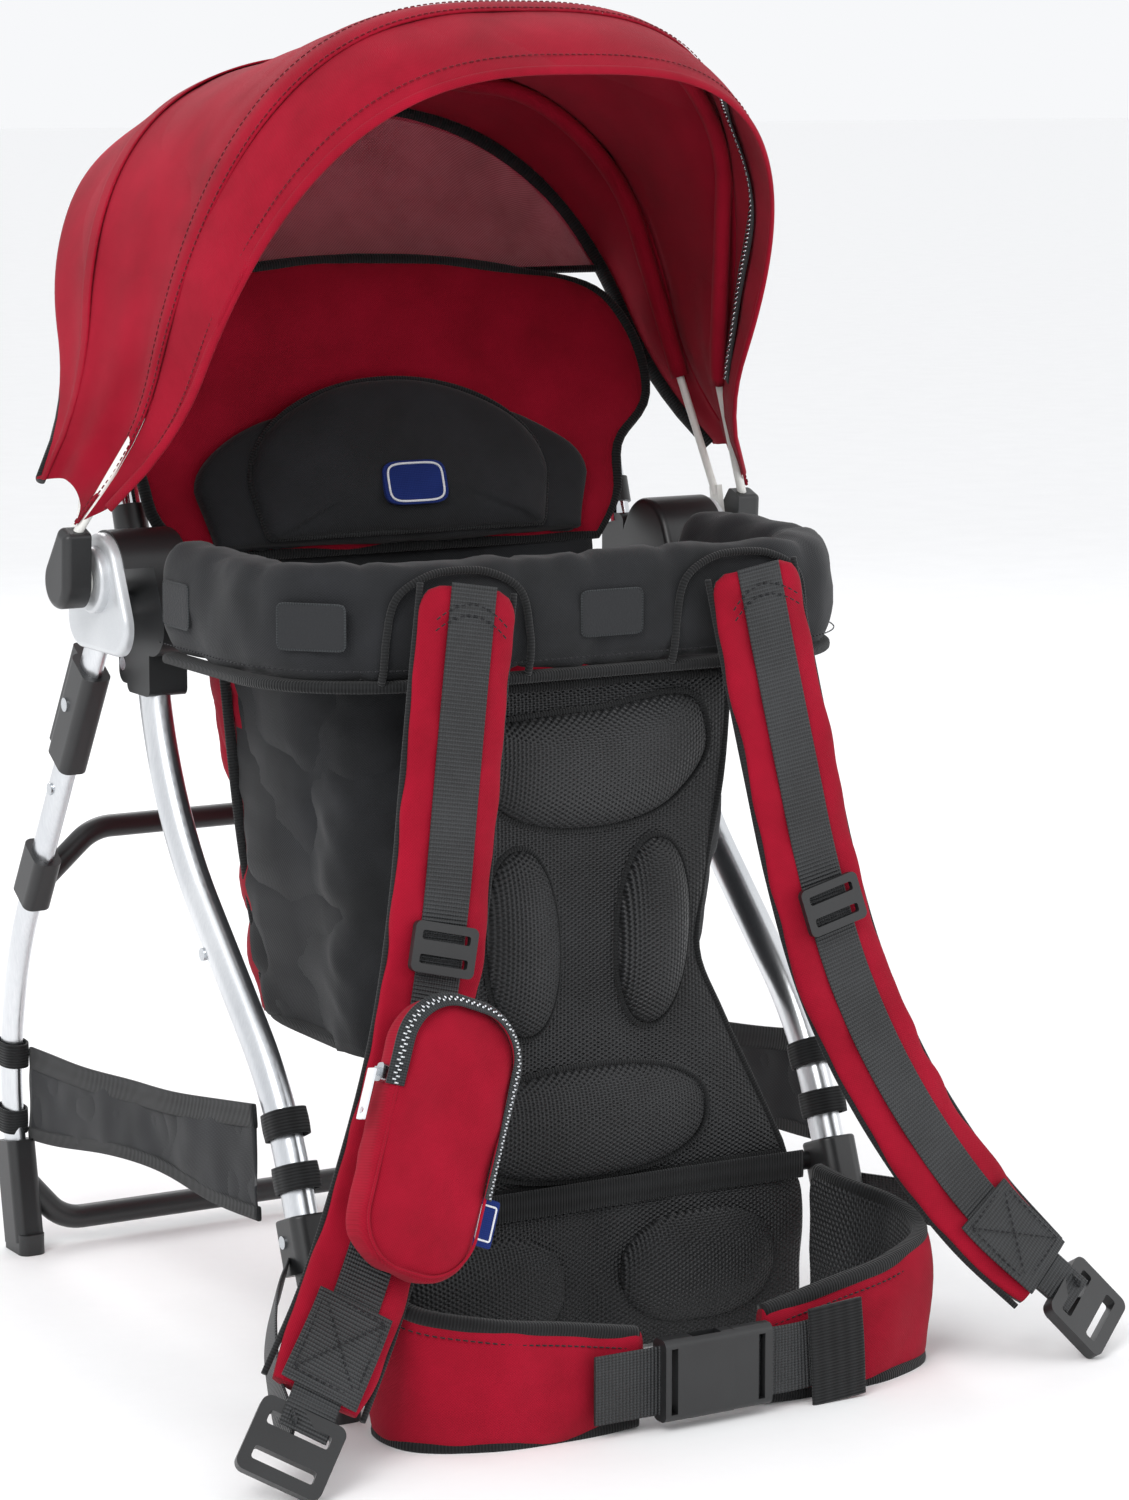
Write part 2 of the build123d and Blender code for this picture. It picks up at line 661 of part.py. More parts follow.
ARCH_RADII = [100, 120, 100, 420, 100, 120, 100]


def bow(tilt, half_width, height, foot_x, foot_z, radius):
    """Round rod bent to the arch of a bow."""
    with BuildPart() as made:
        with BuildLine(tilted_plane(BOW_PIVOT, tilt)) as path:
            FilletPolyline(*arch_line(half_width, height, foot_x, foot_z), radius=ARCH_RADII)
        with BuildSketch(Plane(origin=path.line @ 0, x_dir=(0, 1, 0), z_dir=path.line % 0)):
            Circle(radius)
        sweep(path=path.line)
    return made


FRONT_BOW_HEIGHT = 363.0
REAR_BOW_HEIGHT = 316.0
BOW_HALF_WIDTH = 200.0
front_bow = bow(FRONT_BOW_TILT, BOW_HALF_WIDTH - 8, FRONT_BOW_HEIGHT, 244.1, 28, 3.0)
save(front_bow, "front_bow")

rear_tab_middle = (REAR_TAB_X[0] + REAR_TAB_X[1]) / 2
with BuildPart() as rear_bow:
    add(bow(REAR_BOW_TILT, BOW_HALF_WIDTH + 6, REAR_BOW_HEIGHT, rear_tab_middle - 0.3, 30, 2.6).part)
    for side in (-1, 1):
        tab_plane = Plane(
            origin=(side * REAR_TAB_X[0], *BOW_PIVOT),
            x_dir=tilted_plane(BOW_PIVOT, REAR_BOW_TILT).y_dir,
            z_dir=(side, 0, 0),
        )
        with BuildSketch(tab_plane):
            Circle(10)
            with Locations((18, 0)):
                Rectangle(36, 10)
            Circle(PIN_RADIUS + RUNNING_GAP, mode=Mode.SUBTRACT)
        extrude(amount=REAR_TAB_X[1] - REAR_TAB_X[0])
save(rear_bow, "rear_bow")

cap_direction = tilted_plane(BOW_PIVOT, FRONT_BOW_TILT).y_dir
cap_plane = Plane(origin=(-CAP_X[0], *BOW_PIVOT), x_dir=cap_direction, z_dir=(-1, 0, 0))
with BuildPart() as bow_cap:
    with BuildSketch(cap_plane):
        Circle(17)
        with Locations((29, 0)):
            RectangleRounded(12, 15, 3)
        make_hull()
    extrude(amount=CAP_X[1] - CAP_X[0])
    fillet(bow_cap.faces().sort_by(Axis.X)[0].edges(), 5)
    add(
        disc(-BOW_PIN_END_X - 0.5, -CAP_X[0], BOW_PIVOT, PIN_RADIUS + RUNNING_GAP).part,
        mode=Mode.SUBTRACT,
    )
    add(front_bow.part, mode=Mode.SUBTRACT)
save_pair(bow_cap, "bow_cap")


def cloth_arch(half_width, height, foot, inner):
    """One cross-section of the canopy cloth: a superellipse, open at the bottom, where it flares out."""
    power = 2 / 2.9
    steps = 18
    drop = CLOTH if inner else 0.0
    points = []
    for i in range(steps + 1):
        angle = math.pi * i / steps
        rise = math.sin(angle) ** power * (height - drop - foot)
        flare = CLOTH_FLARE * max(0.0, 1 - rise / FLARE_HEIGHT) ** 2
        half = abs(math.cos(angle)) ** power * (half_width - drop) + flare
        points.append((-math.copysign(half, math.cos(angle)), foot + rise))
    return points


def cloth_section(tilt, half_width, height, foot):
    """Sketches the closed outline of one cloth section in the plane of that tilt."""
    outer = cloth_arch(half_width, height, foot, False)
    inner = cloth_arch(half_width, height, foot, True)
    with BuildSketch(tilted_plane(BOW_PIVOT, tilt)) as section:
        with BuildLine():
            Polyline(*outer, *reversed(inner), outer[0])
        make_face()
    return section.sketch


def cloth(sections):
    """Canopy cloth lofted through its cross-sections."""
    with BuildPart() as made:
        for section in sections:
            add(cloth_section(*section))
        loft(ruled=True)
    return made


save(cloth([(VISOR_TILT, 197, 381, 74), (FRONT_BOW_TILT + 1.2, 205, 375, 70)]), "visor")
save(
    cloth(
        [
            (FRONT_BOW_TILT + 0.8, 205, 375, 70),
            (4, 214, 340, 60),
            (REAR_BOW_TILT + 3.0, 216, 328, 60),
        ]
    ),
    "canopy_front",
)
save(cloth([(REAR_BOW_TILT, 216, 328, 60), (CANOPY_BACK_TILT, 214, 334, 60)]), "canopy_rear")

with BuildPart() as canopy_window:
    with BuildSketch(tilted_plane(BOW_PIVOT, CANOPY_BACK_TILT - 0.6)):
        with BuildLine():
            window = cloth_arch(205, 330, 208, False)
            Polyline(*window, window[0])
        make_face()
    extrude(amount=-CLOTH)
save(canopy_window, "canopy_window")
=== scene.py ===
"""Looks of a framed child carrier: woven cloth, padding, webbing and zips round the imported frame.

Lengths in this script are millimetres and become metres where a mesh is made. Sides called left are at -X.
"""

import json
import math

import bmesh
import bpy
import numpy as np
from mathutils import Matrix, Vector, noise


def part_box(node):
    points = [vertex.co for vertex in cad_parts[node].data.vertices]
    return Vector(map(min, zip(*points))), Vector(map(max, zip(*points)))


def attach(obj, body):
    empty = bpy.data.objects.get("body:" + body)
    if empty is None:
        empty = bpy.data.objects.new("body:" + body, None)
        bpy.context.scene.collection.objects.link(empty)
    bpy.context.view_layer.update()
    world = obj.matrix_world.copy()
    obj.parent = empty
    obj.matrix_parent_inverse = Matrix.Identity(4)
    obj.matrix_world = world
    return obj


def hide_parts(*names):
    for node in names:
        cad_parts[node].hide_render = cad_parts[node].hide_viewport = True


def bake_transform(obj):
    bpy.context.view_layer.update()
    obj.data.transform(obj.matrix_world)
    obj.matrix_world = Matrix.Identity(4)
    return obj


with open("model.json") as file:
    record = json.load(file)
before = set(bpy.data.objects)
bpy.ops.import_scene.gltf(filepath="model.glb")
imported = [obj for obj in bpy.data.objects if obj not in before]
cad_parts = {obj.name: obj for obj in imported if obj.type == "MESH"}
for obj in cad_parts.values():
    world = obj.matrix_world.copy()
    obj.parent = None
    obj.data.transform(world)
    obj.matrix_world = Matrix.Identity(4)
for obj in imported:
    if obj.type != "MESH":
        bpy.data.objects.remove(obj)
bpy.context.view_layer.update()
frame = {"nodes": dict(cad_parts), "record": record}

MM = 0.001
SIDES = (("left", np.array([1.0, 1.0, 1.0])), ("right", np.array([-1.0, 1.0, 1.0])))
UP = np.array([0.0, 0.0, 1.0])
JOINTS = {joint["name"]: joint for joint in frame["record"]["behaviour"]["joints"]}


# ---------------------------------------------------------------- camera, light and floor
CAMERA_SIDE = math.radians(-29.84)
CAMERA_RISE = math.radians(9.26)
CAMERA_DISTANCE = 2.717
CAMERA_LENS = 102.8
CAMERA_SHIFT_RIGHT = 0.0536
CAMERA_HEIGHT = 0.3626


def set_camera():
    """A long lens at chest height, turned a third of the way round the carrier."""
    back = Vector((
        math.sin(CAMERA_SIDE) * math.cos(CAMERA_RISE),
        -math.cos(CAMERA_SIDE) * math.cos(CAMERA_RISE),
        math.sin(CAMERA_RISE),
    ))
    right = Vector((math.cos(CAMERA_SIDE), math.sin(CAMERA_SIDE), 0))
    data = bpy.data.cameras.new("camera")
    data.lens = CAMERA_LENS
    camera = bpy.data.objects.new("camera", data)
    camera.location = right * CAMERA_SHIFT_RIGHT + Vector((0, 0, CAMERA_HEIGHT)) + back * CAMERA_DISTANCE
    camera.rotation_euler = (-back).to_track_quat("-Z", "Y").to_euler()
    bpy.context.scene.collection.objects.link(camera)
    bpy.context.scene.camera = camera


def add_softbox(name, place, size, power):
    """A square softbox at a place in metres, turned to the middle of the carrier."""
    data = bpy.data.lights.new(name, "AREA")
    data.energy = power
    data.size = size
    lamp = bpy.data.objects.new(name, data)
    lamp.location = place
    lamp.rotation_euler = (Vector((0, 0, 0.4)) - Vector(place)).to_track_quat("-Z", "Y").to_euler()
    bpy.context.scene.collection.objects.link(lamp)


def set_studio():
    world = bpy.data.worlds.new("studio")
    bpy.context.scene.world = world
    world.use_nodes = True
    world.node_tree.nodes["Background"].inputs["Color"].default_value = linear("#F7F8FA")
    world.node_tree.nodes["Background"].inputs["Strength"].default_value = 1.0
    bpy.context.scene.view_settings.view_transform = "Standard"
    add_softbox("key", (-2.2, -1.6, 2.3), 1.5, 46)
    add_softbox("fill", (2.4, -2.0, 1.3), 1.8, 14)
    add_softbox("rim", (0.6, 2.6, 2.2), 1.4, 24)
    floor_size = 80.0
    half = floor_size / 2
    corners = [(-half, -half, 0), (half, -half, 0), (half, half, 0), (-half, half, 0)]
    data = bpy.data.meshes.new("floor")
    data.from_pydata(corners, [], [(0, 1, 2, 3)])
    data.materials.append(floor_paint())
    floor = bpy.data.objects.new("floor", data)
    bpy.context.scene.collection.objects.link(floor)


# ---------------------------------------------------------------- materials
def linear(hex_colour):
    """An sRGB hex colour as the linear RGBA that a shader takes."""
    parts = [int(hex_colour[i:i + 2], 16) / 255 for i in (1, 3, 5)]
    return [p / 12.92 if p <= 0.04045 else ((p + 0.055) / 1.055) ** 2.4 for p in parts] + [1.0]


def put(tree, kind, settings=None, inputs=None):
    """Adds a node, sets its settings, and fills or links its inputs."""
    made = tree.nodes.new(kind)
    for name, value in (settings or {}).items():
        setattr(made, name, value)
    for name, value in (inputs or {}).items():
        if isinstance(value, bpy.types.NodeSocket):
            tree.links.new(value, made.inputs[name])
        else:
            made.inputs[name].default_value = value
    return made


def blank(name, constants):
    """A new material, its node tree and its shader, with the shader's constant sockets set."""
    material = bpy.data.materials.new(name)
    material.use_nodes = True
    shader = material.node_tree.nodes["Principled BSDF"]
    for socket, value in constants.items():
        shader.inputs[socket].default_value = value
    return material, material.node_tree, shader


def mottled(tree, shader, dark, light, grain_mm, relief_mm, stretch=(1.0, 1.0, 1.0)):
    """Colour that drifts between two tones, and a fine random relief of that grain width."""
    place = put(tree, "ShaderNodeTexCoord").outputs["Object"]
    scaled = put(tree, "ShaderNodeMapping", None, {"Vector": place, "Scale": stretch}).outputs[0]
    cloud = put(tree, "ShaderNodeTexNoise", None, {"Vector": scaled, "Scale": 14.0, "Detail": 5.0}).outputs[0]
    grain = put(
        tree, "ShaderNodeTexNoise", None, {"Vector": scaled, "Scale": 1 / (grain_mm * MM), "Detail": 2.0}
    ).outputs[0]
    tone = put(
        tree, "ShaderNodeMath", {"operation": "MULTIPLY_ADD"}, {0: grain, 1: 0.35, 2: cloud}
    ).outputs[0]
    spread = put(
        tree, "ShaderNodeMapRange", None, {"Value": tone, "From Min": 0.45, "From Max": 0.9}
    ).outputs[0]
    colour = put(
        tree, "ShaderNodeMix", {"data_type": "RGBA"}, {0: spread, 6: linear(dark), 7: linear(light)}
    ).outputs[2]
    tree.links.new(colour, shader.inputs["Base Color"])
    relief = put(tree, "ShaderNodeBump", None, {"Strength": 0.6, "Distance": relief_mm * MM, "Height": grain})
    tree.links.new(relief.outputs[0], shader.inputs["Normal"])
    return grain


def anodised_aluminium():
    """Drawn tube, etched and anodised: fine streaks along its length soften the softbox in it."""
    material, tree, shader = blank("anodised_aluminium", {"Metallic": 1.0, "Roughness": 0.3})
    mottled(tree, shader, "#C9CCD0", "#E6E8EA", 1.2, 0.02, (1.0, 1.0, 0.12))
    return material


def chrome_plate():
    """Bright nickel and chrome on steel: near-mirror with the faint waviness of a polished tube."""
    material, tree, shader = blank("chrome_plate", {"Metallic": 1.0, "Roughness": 0.09})
    mottled(tree, shader, "#C6C9CD", "#DFE1E4", 6.0, 0.01)
    return material


def zinc_steel():
    """Cold-headed, zinc-plated rivets: slightly blue and a little rough."""
    material, tree, shader = blank("zinc_steel", {"Metallic": 1.0, "Roughness": 0.24})
    mottled(tree, shader, "#B4B8BC", "#D9DCDF", 1.0, 0.02)
    return material


def moulded_nylon():
    """Black glass-filled nylon from a spark-eroded mould: an even, fine grain that breaks the gloss up."""
    material, tree, shader = blank(
        "moulded_nylon", {"Roughness": 0.42, "IOR": 1.53, "Coat Weight": 0.08, "Coat Roughness": 0.3}
    )
    mottled(tree, shader, "#161617", "#242526", 0.9, 0.05)
    return material


def silver_paint():
    """Moulded ABS sprayed with silver paint: fine flake under a thin satin lacquer."""
    material, tree, shader = blank(
        "silver_paint", {"Metallic": 0.35, "Roughness": 0.36, "Coat Weight": 0.3, "Coat Roughness": 0.22}
    )
    mottled(tree, shader, "#C3C6C9", "#DADCDE", 0.7, 0.015)
    return material


def glass_fibre_rod():
    """Pultruded white rod: slightly translucent resin with streaks along the fibres."""
    material, tree, shader = blank("glass_fibre_rod", {"Roughness": 0.38, "IOR": 1.52})
    mottled(tree, shader, "#D8D8D2", "#EFEFEB", 1.5, 0.02, (1.0, 1.0, 0.2))
    return material


def floor_paint():
    """Matt emulsion on a smooth board: pale, with the slightest roller texture."""
    material, tree, shader = blank("floor_paint", {"Roughness": 0.85})
    mottled(tree, shader, "#FAFAFA", "#FDFDFD", 9.0, 0.02)
    return material


def waves(tree, coordinate, spacing_mm):
    """A sine along a coordinate in metres, one wave for each thread."""
    turns = 2 * math.pi / (spacing_mm * MM)
    phase = put(tree, "ShaderNodeMath", {"operation": "MULTIPLY"}, {0: coordinate, 1: turns}).outputs[0]
    return put(tree, "ShaderNodeMath", {"operation": "SINE"}, {0: phase}).outputs[0]


def textile(name, dark, light, pattern, relief_mm, contrast, constants):
    """Cloth whose thread pattern drives both its tone and its relief, with slow fading over the top."""
    material, tree, shader = blank(name, constants)
    threads = pattern(tree)
    place = put(tree, "ShaderNodeTexCoord").outputs["Object"]
    fade = put(
        tree, "ShaderNodeTexNoise", None, {"Vector": place, "Scale": 16.0, "Detail": 7.0, "Roughness": 0.62}
    ).outputs[0]
    tone = put(
        tree, "ShaderNodeMath", {"operation": "MULTIPLY_ADD"}, {0: threads, 1: contrast, 2: fade}
    ).outputs[0]
    spread = put(
        tree, "ShaderNodeMapRange", None, {"Value": tone, "From Min": 0.25, "From Max": 0.75}
    ).outputs[0]
    colour = put(
        tree, "ShaderNodeMix", {"data_type": "RGBA"}, {0: spread, 6: linear(dark), 7: linear(light)}
    ).outputs[2]
    tree.links.new(colour, shader.inputs["Base Color"])
    relief = put(
        tree, "ShaderNodeBump", None, {"Strength": 0.8, "Distance": relief_mm * MM, "Height": threads}
    )
    tree.links.new(relief.outputs[0], shader.inputs["Normal"])
    return material


def plain_weave(spacing_mm):
    """Warp over weft in a checker, from the cloth's own flat coordinates."""
    def pattern(tree):
        flat = put(tree, "ShaderNodeUVMap", {"uv_map": "cloth"}).outputs[0]
        split = put(tree, "ShaderNodeSeparateXYZ", None, {0: flat}).outputs
        warp = waves(tree, split[0], spacing_mm)
        weft = waves(tree, split[1], spacing_mm)
        return put(tree, "ShaderNodeMath", {"operation": "MULTIPLY"}, {0: warp, 1: weft}).outputs[0]
    return pattern


def ribs(along_mm, across_mm):
    """Ribs across a band, each broken by the finer warp threads that cross it."""
    def pattern(tree):
        flat = put(tree, "ShaderNodeUVMap", {"uv_map": "cloth"}).outputs[0]
        split = put(tree, "ShaderNodeSeparateXYZ", None, {0: flat}).outputs
        rib = waves(tree, split[1], along_mm)
        warp = waves(tree, split[0], across_mm)
        return put(
            tree, "ShaderNodeMath", {"operation": "MULTIPLY_ADD"}, {0: warp, 1: 0.55, 2: rib}
        ).outputs[0]
    return pattern


def honeycomb(spacing_mm):
    """Three waves at 60 degrees: the open cells of a knitted spacer mesh."""
    def pattern(tree):
        flat = put(tree, "ShaderNodeUVMap", {"uv_map": "cloth"}).outputs[0]
        total = None
        for turn in (0, 60, 120):
            angle = math.radians(turn)
            direction = (math.cos(angle), math.sin(angle), 0)
            run = put(
                tree, "ShaderNodeVectorMath", {"operation": "DOT_PRODUCT"}, {0: flat, 1: direction}
            ).outputs["Value"]
            wave = waves(tree, run, spacing_mm)
            if total is None:
                total = wave
            else:
                total = put(tree, "ShaderNodeMath", {"operation": "ADD"}, {0: total, 1: wave}).outputs[0]
        return total
    return pattern


def hooks(tree):
    """The tangled loops of a hook-and-loop patch."""
    place = put(tree, "ShaderNodeTexCoord").outputs["Object"]
    return put(tree, "ShaderNodeTexNoise", None, {"Vector": place, "Scale": 900.0, "Detail": 3.0}).outputs[0]


# Threads of 0.4 mm are too fine to show, so the plain weaves are drawn about four times as coarse.
CLOTH_SHEEN = {"Roughness": 0.85, "Sheen Weight": 0.04, "Sheen Roughness": 0.5, "Specular IOR Level": 0.14}
DULL = {"Roughness": 0.88, "Sheen Weight": 0.12, "Sheen Roughness": 0.5, "Specular IOR Level": 0.25}
GLAZED = {"Roughness": 0.5, "Sheen Weight": 0.05, "Sheen Roughness": 0.4, "Specular IOR Level": 0.5}
SHEER = {**CLOTH_SHEEN, "Alpha": 0.86}

FINISHES = {
    "aluminium": anodised_aluminium(),
    "chrome": chrome_plate(),
    "zinc": zinc_steel(),
    "nylon": moulded_nylon(),
    "silver": silver_paint(),
    "rod": glass_fibre_rod(),
    "red": textile("red_polyester", "#80061C", "#A30D2A", plain_weave(1.7), 0.10, 0.10, CLOTH_SHEEN),
    "voile": textile("red_voile", "#98152F", "#D2586C", plain_weave(2.1), 0.14, 0.30, SHEER),
    "black": textile("black_polyester", "#171819", "#26272A", plain_weave(1.7), 0.10, 0.12, DULL),
    # air mesh: its tone follows the cells as a painted highlight on the thread tops and painted shade in the
    # open cells; the cell relief itself is real
    "mesh": textile("air_mesh", "#060607", "#2C2D2F", honeycomb(2.6), 0.45, 0.16, GLAZED),
    "webbing": textile("polypropylene_webbing", "#0E0F10", "#303234", ribs(2.4, 1.7), 0.35, 0.20, GLAZED),
    "binding": textile("grosgrain_binding", "#0D0D0E", "#232425", ribs(1.9, 9.0), 0.25, 0.18, DULL),
    "hooks": textile("hook_patch", "#060606", "#2A2B2D", hooks, 0.6, 0.9, DULL),
    "tape": textile("zip_tape", "#17191A", "#3A3D3F", ribs(1.6, 1.6), 0.10, 0.15, DULL),
    "thread": textile("dark_thread", "#101012", "#222226", plain_weave(1.0), 0.02, 0.1, DULL),
    "red_thread": textile("red_thread", "#5E0716", "#7E0D20", plain_weave(1.0), 0.02, 0.1, DULL),
    "label": textile("woven_label", "#15235A", "#1F3478", ribs(1.2, 1.2), 0.08, 0.10, CLOTH_SHEEN),
    "white": textile("white_thread", "#D5D8DC", "#F0F2F4", ribs(1.2, 1.2), 0.08, 0.10, CLOTH_SHEEN),
}


# ---------------------------------------------------------------- shapes
STITCH = (1.5, 0.38, 0.3)  # half length, half width and half height of a lockstitch
STITCH_SPACING = 4.2
TOOTH = (0.62, 1.5, 0.75)  # the same for one tooth of a zip
TOOTH_SPACING = 1.9
SETTLE_FRAMES = 20  # length of each cloth simulation


def unit(vectors):
    vectors = np.asarray(vectors, float)
    return vectors / np.maximum(np.linalg.norm(vectors, axis=-1, keepdims=True), 1e-9)


def smooth_route(points, count):
    """Evenly spaced points on a smooth curve through the given ones, in any number of columns."""
    points = np.array(points, float)
    travelled = np.concatenate([[0], np.cumsum(np.linalg.norm(np.diff(points, axis=0), axis=1))])
    slopes = np.gradient(points, travelled, axis=0)
    at = np.linspace(0, travelled[-1], count)
    k = np.clip(np.searchsorted(travelled, at, side="right") - 1, 0, len(points) - 2)
    run = (travelled[k + 1] - travelled[k])[:, None]
    u = (at - travelled[k])[:, None] / run
    start = (2 * u**3 - 3 * u**2 + 1) * points[k] + (u**3 - 2 * u**2 + u) * run * slopes[k]
    return start + (3 * u**2 - 2 * u**3) * points[k + 1] + (u**3 - u**2) * run * slopes[k + 1]


def frames(route, facing):
    """Directions along a route, across it, and out of its broad face."""
    along = unit(np.gradient(route, axis=0))
    across = unit(np.cross(along, facing))
    return along, across, unit(np.cross(across, along))


def oval(half_width, half_height, squareness, count=36):
    """Closed superellipse outline: 2 is an ellipse, more is squarer."""
    angle = np.linspace(0, 2 * math.pi, count, endpoint=False)
    c, s = np.cos(angle), np.sin(angle)
    power = 2 / squareness
    x = np.sign(c) * np.abs(c) ** power * half_width
    return np.stack([x, np.sign(s) * np.abs(s) ** power * half_height], axis=1)


def even_outline(outline, count):
    """The same closed outline with evenly spaced points."""
    loop = np.vstack([outline, outline[:1]])
    travelled = np.concatenate([[0], np.cumsum(np.linalg.norm(np.diff(loop, axis=0), axis=1))])
    at = np.linspace(0, travelled[-1], count, endpoint=False)
    return np.stack([np.interp(at, travelled, loop[:, k]) for k in range(loop.shape[1])], axis=1)


def make_piece(name, points, faces, flat, materials, body, face_kinds=None):
    """A smooth mesh piece from points in mm, with its cloth coordinates in metres, riding on a body."""
    data = bpy.data.meshes.new(name)
    data.from_pydata((np.asarray(points).reshape(-1, 3) * MM).tolist(), [], faces)
    layer = data.uv_layers.new(name="cloth")
    corner = 0
    for face, corners in zip(data.polygons, flat):
        for place in corners:
            layer.data[corner].uv = place
            corner += 1
        face.use_smooth = True
    for key in materials if isinstance(materials, (list, tuple)) else [materials]:
        data.materials.append(FINISHES[key])
    if face_kinds is not None:
        data.polygons.foreach_set("material_index", face_kinds)
    grown = bmesh.new()
    grown.from_mesh(data)
    bmesh.ops.recalc_face_normals(grown, faces=grown.faces)
    grown.to_mesh(data)
    grown.free()
    piece = bpy.data.objects.new(name, data)
    bpy.context.scene.collection.objects.link(piece)
    if body:
        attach(piece, body)
    return piece


def sleeve(name, rings, materials, body, kinds=None, closed=False):
    """A piece skinned over closed rings of points. kinds gives the material for each point of a ring."""
    rings = np.asarray(rings)
    rows, columns = rings.shape[:2]
    lengths = np.linalg.norm(np.diff(rings, axis=0), axis=2).mean(axis=1)
    v = np.concatenate([[0], np.cumsum(lengths), [0]]) * MM
    v[rows] = v[rows - 1] + lengths.mean() * MM
    girths = np.linalg.norm(np.roll(rings, -1, axis=1) - rings, axis=2).mean(axis=0)
    u = np.concatenate([[0], np.cumsum(girths)]) * MM
    faces, flat, face_kinds = [], [], []
    for i in range(rows if closed else rows - 1):
        j = (i + 1) % rows
        for k in range(columns):
            m = (k + 1) % columns
            faces.append((i * columns + k, i * columns + m, j * columns + m, j * columns + k))
            flat.append(((u[k], v[i]), (u[k + 1], v[i]), (u[k + 1], v[i + 1]), (u[k], v[i + 1])))
            face_kinds.append(0 if kinds is None else kinds[k])
    if not closed:
        for row in (0, rows - 1):
            faces.append(tuple(row * columns + k for k in range(columns)))
            flat.append(tuple((u[k], v[row]) for k in range(columns)))
            face_kinds.append(0)
    return make_piece(name, rings, faces, flat, materials, body, face_kinds)


def swept_rings(route, facing, outline):
    """Closed rings of points along a route; outline is one (across, outward) section or one per point."""
    _, across, outward = frames(route, facing)
    outline = np.asarray(outline, float)
    if outline.ndim == 2:
        outline = np.broadcast_to(outline, (len(route), *outline.shape))
    return route[:, None] + outline[..., :1] * across[:, None] + outline[..., 1:] * outward[:, None]


def strip(name, route, facing, outline, materials, body, kinds=None, closed=False):
    """A piece swept along a route, such as webbing, a band or a padded strap."""
    return sleeve(name, swept_rings(route, facing, outline), materials, body, kinds, closed)


def cloth(name, grid, thickness, materials, body, kind_of=None, wrap=False):
    """A thin closed sheet over a grid of points, thickened evenly on both sides."""
    grid = np.asarray(grid, float)
    rows, columns = grid.shape[:2]
    down = np.gradient(grid, axis=0)
    over = (np.roll(grid, -1, 1) - np.roll(grid, 1, 1)) if wrap else np.gradient(grid, axis=1)
    normal = unit(np.cross(down, over))
    points = np.concatenate([
        (grid + normal * thickness / 2).reshape(-1, 3), (grid - normal * thickness / 2).reshape(-1, 3)
    ])
    u = np.concatenate([[0], np.cumsum(np.linalg.norm(np.diff(grid[rows // 2], axis=0), axis=1)), [0]]) * MM
    u[columns] = u[columns - 1] + u[1]
    v = np.concatenate([[0], np.cumsum(np.linalg.norm(np.diff(grid[:, columns // 2], axis=0), axis=1))]) * MM
    other = rows * columns
    faces, flat, kinds = [], [], []
    for i in range(rows - 1):
        for k in range(columns if wrap else columns - 1):
            m = (k + 1) % columns
            quad = (i * columns + k, i * columns + m, (i + 1) * columns + m, (i + 1) * columns + k)
            place = ((u[k], v[i]), (u[k + 1], v[i]), (u[k + 1], v[i + 1]), (u[k], v[i + 1]))
            kind = kind_of(grid[i, k]) if kind_of else 0
            faces += [quad, tuple(q + other for q in reversed(quad))]
            flat += [place, tuple(reversed(place))]
            kinds += [kind, kind]
    rims = [[i * columns + k for k in range(columns)] for i in (0, rows - 1)]
    if wrap:
        rims = [rim + rim[:1] for rim in rims]
    else:
        rims += [[i * columns + k for i in range(rows)] for k in (0, columns - 1)]
    for rim in rims:
        for a, b in zip(rim, rim[1:]):
            faces.append((a, b, b + other, a + other))
            flat.append(((0, 0), (0.002, 0), (0.002, 0.001), (0, 0.001)))
            kinds.append(0)
    return make_piece(name, points, faces, flat, materials, body, kinds)


def pad(name, plane, outline, front, back, squareness, materials, body, hollow=None):
    """A stuffed pad over an outline in a plane: it rises to front and sinks to back, rounded at its rim.

    hollow(points) gives a share by which the stuffing is drawn in, as along a sewn channel.
    """
    origin, across, upward, normal = plane
    centre = outline.mean(axis=0)
    steps = np.linspace(0, math.pi / 2, 15)
    reach = np.cos(steps) ** (2 / squareness)
    height = np.sin(steps) ** (2 / squareness)
    count = len(outline)
    points, flat_points = [], []
    for side, depth in ((1, front), (-1, back)):
        for r, h in list(zip(reach, height))[0 if side == 1 else 1:-1]:
            ring = centre + (outline - centre) * r
            rise = side * depth * h * (1 - (hollow(ring) if hollow else 0.0))
            points.append(
                origin + ring[:, :1] * across + ring[:, 1:] * upward + np.reshape(rise, (-1, 1)) * normal
            )
            flat_points.append(ring)
        dip = hollow(centre[None])[0] if hollow else 0.0
        tip = origin + centre[0] * across + centre[1] * upward + side * depth * (1 - dip) * normal
        points.append(np.broadcast_to(tip, (count, 3)))
        flat_points.append(np.broadcast_to(centre, (count, 2)))
    rings_each = len(reach) - 1
    rows = np.array(points)
    flats = np.array(flat_points) * MM
    verts, places, index = [], [], {}
    tips = (rings_each, 2 * rings_each)
    for row in range(len(rows)):
        for k in range(1 if row in tips else count):
            index[row, k] = len(verts)
            verts.append(rows[row, k])
            places.append(flats[row, k])
    faces = []
    for order in (list(range(rings_each + 1)), [0, *range(rings_each + 1, 2 * rings_each + 1)]):
        for a, b in zip(order, order[1:]):
            for k in range(count):
                m = (k + 1) % count
                if b in tips:
                    faces.append((index[a, k], index[a, m], index[b, 0]))
                else:
                    faces.append((index[a, k], index[a, m], index[b, m], index[b, k]))
    flat = [tuple(tuple(places[q]) for q in face) for face in faces]
    return make_piece(name, verts, faces, flat, materials, body, None)


